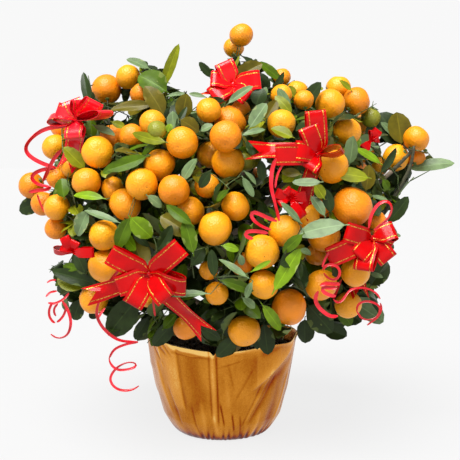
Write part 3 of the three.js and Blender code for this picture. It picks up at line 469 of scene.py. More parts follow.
def add_stack(shape, rows, start, end, paint=0):
    """Adds rings of points joined into one closed body, with a point in the middle of each end."""
    columns = len(rows[0])
    points = np.concatenate([*rows, [start, end]])
    ring = np.arange(columns)
    start_fan = fan(len(points) - 2, ring, turned_over=True)
    end_fan = fan(len(points) - 1, ring + (len(rows) - 1) * columns)
    shape.add(points, (grid_faces(len(rows) - 1, columns), paint), (start_fan, paint), (end_fan, paint))
    return points


def add_tube(shape, path, radius_at, sides, rings, paint, relief=None):
    """Adds a closed tapering tube. The relief scales its radius by angle and distance."""
    shares = np.linspace(0, 1, rings + 1)
    middles = path.at(shares)
    turns = turns_of(sides)
    tangents = directions_along(middles)
    normal = np.cross(tangents[0], aside_of(tangents[0]))
    rows = []
    for share, middle, tangent in zip(shares, middles, tangents):
        normal = across_of(tangent, normal)
        binormal = np.cross(tangent, normal)
        radii = np.full(sides, radius_at(share))
        if relief:
            radii = radii * np.array([relief(turn, share * path.length) for turn in turns])
        to_side = np.outer(np.cos(turns) * radii, normal)
        rows.append(middle + to_side + np.outer(np.sin(turns) * radii, binormal))
    add_stack(shape, rows, middles[0], middles[-1], paint)


# ------------------------------------------------------------------ the pot's outline, and room taken


def pot_radius_at(height):
    height = np.asarray(height, float)
    climbed = np.clip(height / POT["shoulder_height"], 0, 1) ** POT["foot_curve"]
    low = between((POT["foot_radius"], POT["shoulder_radius"]), climbed)
    share = (height - POT["shoulder_height"]) / (POT["rim_height"] - POT["shoulder_height"])
    high = POT["shoulder_radius"] + (POT["rim_radius"] - POT["shoulder_radius"]) * share
    high = high + 4 * POT["belly"] * share * (1 - share)
    return np.where(height < POT["shoulder_height"], low, high)


def rim_rise_at(angle):
    collar = np.maximum(0, np.cos(angle - POT["collar_angle"])) ** POT["collar_sharpness"]
    return POT["collar_rise"] * collar + POT["rim_wave"] * np.sin(POT["rim_waves"] * angle)


def outside_pot(points, margin):
    points = np.atleast_2d(points)
    heights = np.clip(points[:, 2], 0, POT["rim_height"])
    widest = pot_radius_at(heights) + POT["pleat_depth"]
    radii = np.hypot(points[:, 0], points[:, 1])
    rim = POT["rim_height"] + rim_rise_at(np.arctan2(points[:, 1], points[:, 0]))
    top = np.where(radii > widest - POT["rim_band"], rim, SOIL_TOP)
    return bool(np.all((radii > widest + margin) | (points[:, 2] > top + margin)))


# What takes up room: its kinds, and its owners, which are the masses by their number and these.
WOOD, FRUIT_KIND, RIBBON_KIND, LEAF_KIND = range(4)
LIMBS = -1
FIRST_BOW = 1000
FIRST_CURL = 2000
MOST_OBSTACLES = 40000
MARK_EVERY = 3


class Room:
    """Round obstacles that everything grown later keeps clear of."""

    def __init__(self):
        self.spots = np.zeros((MOST_OBSTACLES, 3))
        self.radii = np.zeros(MOST_OBSTACLES)
        self.owners = np.zeros(MOST_OBSTACLES, int)
        self.kinds = np.zeros(MOST_OBSTACLES, int)
        self.count = 0

    def mark(self, at, radius, owner, kind=WOOD):
        self.spots[self.count] = at
        self.radii[self.count] = radius
        self.owners[self.count] = owner
        self.kinds[self.count] = kind
        self.count += 1
        return self.count - 1

    def mark_path(self, path, radius_at, owner):
        count = max(2, math.ceil(path.length / MARK_EVERY))
        for share in np.arange(count + 1) / count:
            self.mark(path.at(share), radius_at(share), owner)

    def near(self, points, reach):
        """The numbers of the obstacles that could come within reach of some points."""
        low = points.min(axis=0) - reach
        high = points.max(axis=0) + reach
        spots = self.spots[:self.count]
        room_taken = self.radii[:self.count, None]
        return np.flatnonzero(np.all((spots + room_taken > low) & (spots - room_taken < high), axis=1))

    def clear(self, points, reach, numbers):
        """True where all points lie further than reach from the numbered obstacles."""
        gaps = ((points[:, None, :] - self.spots[numbers][None]) ** 2).sum(axis=2)
        return bool(np.all(gaps > (self.radii[numbers] + reach) ** 2))

    def wood_clear(self, points, reach, owner, borne):
        """Wood keeps clear of what others own, and of its own fruit but for the one it bears."""
        near = self.near(points, reach)
        matters = (self.owners[near] != owner) | (self.kinds[near] == FRUIT_KIND)
        matters &= self.kinds[near] != LEAF_KIND
        if borne is not None:
            matters &= near != borne
        return self.clear(points, reach, near[matters])

    def blade_clear(self, points, elbow_room):
        """A blade keeps clear of fruit, ribbon and limbs, and has elbow room from other leaves."""
        near = self.near(points, LEAF["clearance"])
        kinds = self.kinds[near]
        hard = (kinds == FRUIT_KIND) | (kinds == RIBBON_KIND) | (self.owners[near] == LIMBS)
        return (self.clear(points, LEAF["clearance"], near[hard])
                and self.clear(points, LEAF["clearance"] + elbow_room, near[kinds == LEAF_KIND]))


room = Room()

# ------------------------------------------------------------------ trunk and boughs


class Limb:
    """The trunk or a bough."""

    def __init__(self, path, radius_at):
        self.path = path
        self.radius_at = radius_at


def trunk_radius_at(share):
    flare = (TRUNK["flare_radius"] - TRUNK["radius"]) * max(0, 1 - share / TRUNK["flare_share"]) ** 2
    return between((TRUNK["radius"], TRUNK["fork_radius"]), share) + flare


def make_trunk():
    foot = UP * (SOIL_TOP - TRUNK["foot_sunk"])
    fork = TRUNK["lean"] + UP * TRUNK["fork_height"]
    before_fork = TRUNK["sway"] + UP * (TRUNK["fork_height"] - TRUNK["straight"])
    return Limb(bezier(foot, foot + UP * TRUNK["straight"], before_fork, fork), trunk_radius_at)


class Mass:
    """One mass of foliage, a ball cut off half way to its neighbours."""

    def __init__(self, index, name, plan):
        middle, self.radius, self.carrier, self.place, self.wild, self.fruit_rows = plan
        self.index = index
        self.name = name
        self.middle = np.array(middle, float)
        self.outward = unit(self.middle - CROWN["heart"])


masses = [Mass(index, name, plan) for index, (name, plan) in enumerate(MASSES.items())]
MIDDLES = np.array([mass.middle for mass in masses])
RADII = np.array([mass.radius for mass in masses], float)


def in_space(mass, points, margin):
    """True where points lie in the mass's ball and clear of the planes to its neighbours by a margin.
    A margin below 0 lets them stand out of both by as much."""
    points = np.atleast_2d(points)
    squares = ((points[:, None, :] - MIDDLES[None]) ** 2).sum(axis=2)
    if np.any(squares[:, mass.index] > (mass.radius + max(0, -margin)) ** 2):
        return False
    powers = squares - RADII ** 2
    spans = 2 * np.linalg.norm(MIDDLES - mass.middle, axis=1)
    spans[mass.index] = 1
    clearances = (powers - powers[:, mass.index][:, None]) / spans
    clearances[:, mass.index] = margin + 1
    return bool(np.all(clearances > margin))


def stem_start(mass, towards):
    inward = unit(towards - mass.middle)
    reach = 0
    while reach < mass.radius * STEM["longest"]:
        if not in_space(mass, mass.middle + inward * (reach + STEM["clearance"]), STEM["clearance"]):
            break
        reach += STEM["step"]
    return mass.middle + inward * reach


def make_bough(mass):
    carrier = limbs[mass.carrier]
    is_leader = mass.place == 1
    socket = carrier.path.at(mass.place)
    tangent = carrier.path.tangent(mass.place)
    end = stem_start(mass, between((socket, mass.middle), BOUGH["aim"]))
    arrival = unit(mass.middle - end)
    outward = tangent if is_leader else across_of(tangent, mass.middle - socket)
    start = socket if is_leader else socket + outward * carrier.radius_at(mass.place)
    length = np.linalg.norm(end - start)
    after_start = start + outward * length * BOUGH["root_bend"]
    path = bezier(start, after_start, end - arrival * length * BOUGH["tip_bend"], end)
    root_radius = BOUGH["main_radius"] if mass.carrier == "trunk" else BOUGH["side_radius"]
    return Limb(path, lambda share: between((root_radius, BOUGH["tip_radius"]), share ** BOUGH["taper"]))


limbs = {"trunk": make_trunk()}
room.mark_path(limbs["trunk"].path, limbs["trunk"].radius_at, LIMBS)
waiting = list(masses)
while waiting:
    for mass in list(waiting):
        if mass.carrier in limbs:
            limbs[mass.name] = make_bough(mass)
            room.mark_path(limbs[mass.name].path, limbs[mass.name].radius_at, LIMBS)
            waiting.remove(mass)

# ------------------------------------------------------------------ places of the fruit


class Fruit:
    """One fruit: its place, its size and the way from its middle to its stalk."""

    def __init__(self, at, radius, mass, shows, tint, set_back=0):
        self.at = np.array(at, float)
        self.set_back = set_back
        self.radius = radius
        self.mass = mass
        self.shows = shows  # the side from which leaves leave it uncovered
        self.tint = tint
        self.stalk = UP
        self.mark = None


fruits = []


def fruit_gap(at, radius):
    """How far a fruit at a place would lie from the nearest one."""
    gaps = (np.linalg.norm(fruit.at - at) - fruit.radius - radius for fruit in fruits)
    return min(gaps, default=math.inf)


def settle_fruit(row, mass):
    """Hangs a listed fruit, set back until it clears those in front of it."""
    across, height, diameter, set_back = row
    tint = "green" if (across, height) in GREEN_FRUIT else "ripe"
    at = np.array([across, front_at(across, height, CROWN["fruit_sunk"]) + set_back, height], float)
    for _ in range(FRUIT["set_back_steps"]):
        if fruit_gap(at, diameter / 2) > FRUIT["clearance"]:
            fruits.append(Fruit(at, diameter / 2, mass, FRONT, tint, set_back))
            return
        at = at - FRONT * FRUIT["set_back_step"]


def hang_wild_fruit(mass):
    draw = seeded(SEEDS["wild_fruit"] + mass.index)
    placed = 0
    for _ in range(WILD["tries"]):
        if placed == mass.wild:
            break
        direction = unit(random_direction(draw) + mass.outward * WILD["outwards"])
        radius = between(WILD["radii"], draw())
        at = mass.middle + direction * mass.radius * between(WILD["reach"], draw())
        behind = mass.name.startswith("back") or at[1] > WILD["behind"]
        roomy = fruit_gap(at, radius) > WILD["spacing"] and in_space(mass, at, radius / 2)
        if behind and roomy and outside_pot(at, radius):
            rim = at + np.array([[1, 0, 0], [-1, 0, 0], [0, 0, 1], [0, 0, -1]]) * radius
            spots = np.array(NO_FRUIT)
            kept_off = np.hypot(*(in_picture(at) - spots[:, :2]).T) < spots[:, 2]
            if in_outline(rim) and not np.any(kept_off):
                fruits.append(Fruit(at, radius, mass, mass.outward, "ripe"))
            placed += 1


def nearest_mass(point):
    return masses[int(np.argmin(((MIDDLES - point) ** 2).sum(axis=1) - RADII ** 2))]


def place_fruit():
    rows = [(row, mass) for mass in masses for row in mass.fruit_rows]
    rows.sort(key=lambda pair: pair[0][3])
    for row, mass in rows:
        if row[2] >= FRUIT["least_solid"]:
            settle_fruit(row, mass)
    for mass in masses:
        hang_wild_fruit(mass)
    for row, mass in rows:
        if row[2] < FRUIT["least_solid"]:
            settle_fruit(row, mass)
    for row in SMALL_FRUIT:
        place = np.array([row[0], front_at(row[0], row[1], 0), row[1]])
        settle_fruit(row, nearest_mass(place))
    for fruit in fruits:
        fruit.mark = room.mark(fruit.at, fruit.radius, fruit.mass.index, FRUIT_KIND)


place_fruit()

# ------------------------------------------------------------------ places of the bows


class Bow:
    """A bow, square to the crown's round front."""

    def __init__(self, index, name, plan, width):
        self.mass_name, knot, self.loops, self.tails = plan
        self.name = name
        self.width = width
        self.owner = FIRST_BOW + index
        across, height, before = knot
        front = front_at(across, height, 0)
        self.at = np.array([across, front - before, height], float)
        upwards = (height - CROWN["middle"]) / CROWN["half_height"]
        facing = np.array([across / CROWN["half_width"], front / CROWN["half_depth"] - 1, upwards])
        self.facing = unit(facing * BOW_TURN)
        self.right = unit(np.cross(UP, self.facing))
        self.up = np.cross(self.facing, self.right)

    def arm(self, degrees):
        """The direction in the bow's plane at an angle from its right."""
        turn = math.radians(degrees)
        return self.right * math.cos(turn) + self.up * math.sin(turn)

    def place(self):
        """Moves the bow forward until its arms clear the fruit, and marks the room that it takes."""
        arms = [row[:2] for row in self.loops + self.tails]
        spots = np.array([
            self.arm(degrees) * length * share for degrees, length in arms for share in BOW_SPOTS])
        centres = np.array([fruit.at for fruit in fruits])
        least = np.array([fruit.radius + RIBBON["clearance"] for fruit in fruits])
        for _ in range(RIBBON["forward_steps"]):
            gaps = np.linalg.norm((spots + self.at)[:, None] - centres[None], axis=2)
            if np.all(gaps >= least):
                break
            self.at = self.at + FRONT * RIBBON["forward_step"]
        self.near_knot = []
        self.spots = [self.at, *(spots + self.at)]
        for spot in [*spots, np.zeros(3)]:
            mark = room.mark(self.at + spot, self.width / 2, self.owner, RIBBON_KIND)
            if np.linalg.norm(spot) < RIBBON["knot"]:
                self.near_knot.append(mark)


bows = [Bow(index, name, plan, RIBBON["width"]) for index, (name, plan) in enumerate(BOWS.items())]
bows += [Bow(len(bows) + index, f"small_{name}", plan, RIBBON["small_width"])
         for index, (name, plan) in enumerate(SMALL_BOWS.items())]
for bow in bows:
    bow.place()

# ------------------------------------------------------------------ curled ribbon

# Each length of curled ribbon, read from the picture: its width, its depth at the start and at the end, all
# in millimetres, and its route in pixels.
CURLS = [
    (5.4, -76, -70, [
        (68, 126), (52, 127), (40, 131), (30, 139), (25, 147), (27, 154), (35, 160), (46, 165), (56, 168)]),
    (5.0, -70, -66, [(56, 168), (44, 169), (34, 173), (31, 178), (36, 184), (44, 186), (51, 187)]),
    (4.4, -66, -72, [(51, 187), (46, 190), (38, 190), (29, 192)]),
    (4.8, -92, -78, [(61, 150), (55, 157), (51, 164), (47, 172), (43, 181)]),
    (2.4, -68, -64, [(37, 194), (40, 203), (44, 211), (48, 216)]),
    (4.8, -170, -184, [
        (276, 158), (272, 168), (271, 178), (271, 188), (273, 197), (276, 208), (279, 221)]),
    (2.6, -168, -172, [(286, 161), (280, 168), (276, 178), (275, 188)]),
    (4.4, -188, -182, [
        (277, 221), (268, 218), (258, 213), (252, 212), (251, 217), (256, 223), (264, 228), (271, 230)]),
    (4.4, -186, -184, [(268, 233), (258, 231), (248, 231), (245, 234), (247, 237), (253, 239)]),
    (3.8, -176, -132, [
        (120, 268), (114, 276), (108, 284), (102, 294), (98, 303), (96, 312), (98, 320), (103, 328),
        (111, 336), (120, 341), (130, 342), (138, 342)]),
    (3.2, -132, -128, [(138, 342), (130, 343), (120, 346), (113, 350), (109, 358)]),
    (3.2, -128, -120, [
        (109, 358), (109.5, 362), (113, 367), (118, 370), (126, 370), (134, 368), (137, 365), (134, 362),
        (127, 362), (120, 365), (115, 369), (111, 375), (110, 380), (113, 386), (119, 390), (127, 391),
        (135, 389), (139, 386)]),
    (2.4, -174, -172, [(153, 290), (153, 302), (155, 316)]),
    (3.0, -134, -130, [(98, 319), (101, 313), (105, 308)]),
    (3.8, -160, -166, [
        (369, 228), (370, 219), (373, 211), (378, 204), (385, 201), (390, 203), (392, 209), (389, 217),
        (382, 224), (374, 230)]),
    (2.6, -160, -164, [(330, 251), (325, 258), (322, 267)]),
    (3.4, -164, -168, [
        (323, 270), (325, 266), (331, 264), (337, 266), (340, 271), (339, 277), (334, 280), (328, 278),
        (324, 273)]),
    (4.6, -168, -164, [(320, 286), (326, 283), (333, 284), (340, 284)]),
    (4.6, -168, -164, [(336, 296), (329, 295), (322, 291), (323, 287), (330, 288), (337, 288)]),
    (4.8, -162, -152, [
        (318, 291), (315, 297), (316, 303), (320, 309), (326, 314), (332, 317), (338, 316)]),
    (2.8, -156, -142, [
        (333, 299), (337, 303), (342, 301), (346, 295), (350, 290), (356, 288), (364, 288), (371, 290),
        (377, 294), (380, 299)]),
    (2.8, -136, -142, [
        (357, 312), (357, 306), (361, 302), (368, 301), (375, 303), (380, 307), (379, 313), (375, 318),
        (368, 320), (361, 318), (357, 311)]),
    (2.4, -134, -128, [(380, 303), (382, 309), (378, 317), (371, 322), (367, 325)]),
    (2.4, -82, -78, [(47, 283), (51, 280), (56, 280)]),
    (2.8, -86, -80, [(46, 297), (50, 292), (57, 291)]),
    (3.2, -86, -80, [(48, 303), (54, 304), (61, 301), (66, 297), (69, 293)]),
    (3.2, -88, -84, [(52, 303), (49, 309), (49, 316), (52, 321), (55, 323)]),
    (2.8, -84, -80, [(58, 303), (54, 308), (54, 313), (56, 316)]),
    (3.8, -90, -82, [
        (62, 301), (66, 306), (69, 313), (71, 321), (70, 329), (67, 335), (61, 338), (55, 337), (51, 334)]),
    (3.2, -84, -78, [(66, 308), (64, 315), (60, 320), (57, 322)]),
]
CURL = dict(
    width_share=0.8, thickness=0.4, spacing=2.2, least_steps=6, tilt=1.05, tilt_swing=0.4, swing_length=30,
    softening=3, mark_every=6, show_every=8, end_width=0.4, widening=8, cup=0.35,
)
CURL_COLUMNS = np.array([-1, -0.5, 0, 0.5, 1])


class Curl:
    """A length of curled ribbon."""

    def __init__(self, width, depth_from, depth_to, route):
        self.width = width * CURL["width_share"]
        depths = np.linspace(depth_from, depth_to, len(route))
        spots = [seen_at(*place, depth) for place, depth in zip(route, depths)]
        self.path = Path(spots).softened(CURL["softening"])

    def spots(self, every):
        """Points along the ribbon, from its start to its end."""
        return self.path.at(np.linspace(0, 1, math.ceil(self.path.length / every) + 1))


curls = [Curl(*row) for row in CURLS]
for number, curl in enumerate(curls):
    for spot in curl.spots(CURL["mark_every"]):
        room.mark(spot, curl.width / 2, FIRST_CURL + number, RIBBON_KIND)

# ------------------------------------------------------------------ what leaves leave uncovered

# How much of each kind of thing has to show, as a share of its size, and from how set back a fruit counts as
# deep.
SHOWING = dict(
    front_fruit=0.82, deep_fruit=0.5, deep=10, wild_fruit=0.7, bow=0.42, curl=0.7, leaf=0.4, far=1000,
)
LEAF_SIGHTS = (0.22, 0.4, 0.58, 0.76)


class Showing:
    """Discs that show from a side, and whether a blade or twig would stand before one of them."""

    def __init__(self):
        self.rows = []

    def add(self, at, radius, eye):
        self.rows.append((at, radius, unit(eye - at)))

    def settle(self):
        self.spots = np.array([row[0] for row in self.rows])
        self.radii = np.array([row[1] for row in self.rows])
        self.sights = np.array([row[2] for row in self.rows])

    def hidden(self, points):
        runs = points[:, None] - self.spots[None]
        forward = (runs * self.sights).sum(axis=2)
        aside = np.linalg.norm(runs - forward[..., None] * self.sights, axis=2)
        return (forward > 0) & (aside < self.radii)

    def count_hidden(self, points):
        return int(self.hidden(points).sum())


showing = Showing()
for fruit in fruits:
    if fruit.shows is FRONT:
        share = SHOWING["deep_fruit" if fruit.set_back >= SHOWING["deep"] else "front_fruit"]
        showing.add(fruit.at, fruit.radius * share, CAMERA["place"])
    else:
        showing.add(fruit.at, fruit.radius * SHOWING["wild_fruit"], fruit.at + fruit.shows * SHOWING["far"])
for bow in bows:
    for spot in bow.spots:
        showing.add(spot, bow.width * SHOWING["bow"], CAMERA["place"])
for curl in curls:
    for spot in curl.spots(CURL["show_every"]):
        showing.add(spot, curl.width * SHOWING["curl"], CAMERA["place"])
showing.settle()

# ------------------------------------------------------------------ growing the twigs


SHORTEST_RUN = 0.1


class Twig:
    """A twig, and how many times it has forked off from a stem."""

    def __init__(self, path, level):
        self.path = path
        self.level = level


class Grown:
    """What one mass has grown: its twigs, and the places where more may fork off."""

    def __init__(self, mass):
        self.mass = mass
        self.twigs = []
        self.forks = []
        self.leafy_stalks = []
        end = limbs[mass.name].path.points[-1]
        stem = Path([end, mass.middle])
        self.twigs.append(Twig(stem, 0))
        self.add_forks(stem, STEM["bare_root"], stem.length - STEM["bare_tip"], 0)
        room.mark_path(stem, lambda share: STEM["radius"], mass.index)

    def add_forks(self, path, start, end, level):
        for distance in np.arange(start, end, TWIG["fork_every"]):
            share = distance / path.length
            self.forks.append((path.at(share), path.tangent(share), level))

    def grow_twig(self, target, arrival, options, borne=None, insist=False):
        """Grows a twig from the best fork to a target. Where all ways are blocked it may insist on the one
        that hides least."""
        places = np.array([fork[0] for fork in self.forks])
        headings = np.array([fork[1] for fork in self.forks])
        runs = target - places
        lengths = np.linalg.norm(runs, axis=1)
        bends = 1 - (runs * headings).sum(axis=1) / np.maximum(lengths, SHORTEST_RUN)
        costs = lengths * (1 + TWIG["turn_cost"] * bends)
        order = [int(i) for i in np.argsort(costs, kind="stable") if costs[i] > TWIG["shortest"]]
        chosen = None
        for number in order[:options["keep_trying"]]:
            path = self.route(self.forks[number], target, arrival, options)
            if self.is_free(path, options, borne):
                chosen = number
                break
        if chosen is None and insist and order:
            tried = order[:options["keep_trying"]]
            hidden = [self.hides(number, target, arrival, options) for number in tried]
            chosen = order[int(np.argmin(hidden))]
            path = self.route(self.forks[chosen], target, arrival, options)
        if chosen is None:
            return None
        level = min(self.forks.pop(chosen)[2] + 1, len(TWIG_SIZES) - 1)
        twig = Twig(path, level)
        self.twigs.append(twig)
        self.add_forks(path, TWIG["fork_every"], path.length - options["bare_tip"], level)
        room.mark_path(path, lambda share: TWIG["radius"], self.mass.index)
        return twig

    def route(self, fork, target, arrival, options):
        place, heading, _ = fork
        length = np.linalg.norm(target - place)
        points = [place, target]
        if length > TWIG["straight_up_to"] and "sag_back" not in options:
            bend = between((place, target), TWIG["bend_at"]) + heading * length * TWIG["bend_onwards"]
            points.insert(1, bend - arrival * length * TWIG["bend_back"])
        if "sag_back" in options:
            points.insert(1, between((place, target), TWIG["bend_at"]) - FRONT * options["sag_back"])
        if "straight_end" in options:
            points.insert(-1, target - arrival * options["straight_end"])
        return Path(points)

    def hides(self, number, target, arrival, options):
        """How much of a twig from a fork would stand before what shows."""
        path = self.route(self.forks[number], target, arrival, options)
        return showing.count_hidden(path.at(np.linspace(0, 1, TWIG["sightings"])))

    def is_free(self, path, options, borne):
        samples = path.at(np.linspace(0, 1, math.ceil(path.length / TWIG["sample_step"]) + 2))
        if not room.wood_clear(samples, TWIG["radius"] + TWIG["clearance"], self.mass.index, borne):
            return False
        if not outside_pot(samples, TWIG["pot_clearance"]):
            return False
        if "hide_nothing" in options and showing.count_hidden(samples):
            return False
        margin = TWIG["radius"] + TWIG["space_clearance"]
        return not options["keep_inside"] or in_space(self.mass, samples, margin)


def bear_fruit(grown):
    own = [fruit for fruit in fruits if fruit.mass is grown.mass]
    own.sort(key=lambda fruit: np.linalg.norm(fruit.at - grown.mass.middle))
    for fruit in own:
        inward = unit(grown.mass.middle - fruit.at + UP * FRUIT["stalk_lift"] * fruit.radius)
        aside = unit(np.cross(inward, UP))
        swerves = [np.zeros(3), UP, aside, -aside, -UP]
        for number, swerve in enumerate(swerves, 1):
            towards_stalk = unit(inward + swerve * FRUIT["swerve"])
            foot = fruit.at + towards_stalk * fruit.radius * (1 - FRUIT["stalk_sunk"])
            last = number == len(swerves)
            twig = grown.grow_twig(foot, -towards_stalk, STALK, borne=fruit.mark, insist=last)
            if twig:
                fruit.stalk = towards_stalk
                if twig.path.length > FRUIT["leafy_stalk"]:
                    grown.leafy_stalks.append(twig)
                break


def bear_bow(grown):
    for bow in bows:
        if bow.mass_name != grown.mass.name:
            continue
        room.owners[bow.near_knot] = grown.mass.index
        back = bow.at - bow.facing * RIBBON["holder_sunk"]
        grown.grow_twig(back, bow.facing, BOW_HOLDER, insist=True)
        room.owners[bow.near_knot] = bow.owner


# Bare wood that shows, read from the picture: the mass that it belongs to, how fine it is (as a place in
# TWIG_SIZES), its depth in millimetres, and its route in pixels.
BARE_WOOD = [
    ("far_right", 0, -22, [
        (383, 214), (392, 200), (398, 190), (405, 178), (410, 168), (413, 155), (414, 146)]),
    ("far_right", 2, -26, [(393, 203), (399, 194), (406, 185), (414, 177)]),
    ("far_right", 2, -24, [(398, 190), (398, 175)]),
    ("top", 2, -6, [(239, 84), (236, 74), (237, 62), (239, 52), (240, 46)]),
    ("top", 3, -6, [(238, 58), (233, 52)]),
    ("front_low_right", 3, -128, [(256, 309), (262, 305), (268, 304), (276, 304)]),
    ("front_low_right", 3, -128, [(262, 305), (268, 299), (275, 290)]),
    ("front_mid_right", 3, -150, [(215, 286), (210, 290), (205, 293)]),
    ("front_centre", 3, -158, [(194, 278), (192, 264), (192, 252)]),
    ("front_left", 3, -142, [(127, 221), (123, 216), (116, 208)]),
    ("upper_left", 2, -40, [(170, 118), (168, 104), (167, 90)]),
]


def show_bare_wood():
    """Twigs along the wood that shows, from which leaves and stalks may fork."""
    for mass_name, level, depth, route in BARE_WOOD:
        grown = next(grown for grown in crown if grown.mass.name == mass_name)
        path = Path([seen_at(*place, depth) for place in route]).softened()
        grown.twigs.append(Twig(path, level))
        grown.add_forks(path, path.length / 2, path.length, level)
        room.mark_path(path, lambda share: TWIG["radius"], grown.mass.index)


crown = [Grown(mass) for mass in masses]
for grown in crown:
    bear_fruit(grown)
show_bare_wood()
for grown in crown:
    bear_bow(grown)

# ------------------------------------------------------------------ leaves

# Leaf tints. The pale tint is a painted sheen: leaves coloured grey-green as if they mirrored the light.
TINTS = ["dark", "mid", "olive", "brown", "fresh", "pale"]
TINT_SHARES = [0.44, 0.28, 0.09, 0.07, 0.04, 0.08]
# Between which heights the leaves turn darker downwards, a painted shade on the lower crown, and how much is
# left of the paler tints.
PAINTED_SHADE_LOW_DOWN = dict(heights=(150, 260), darker=0.6)

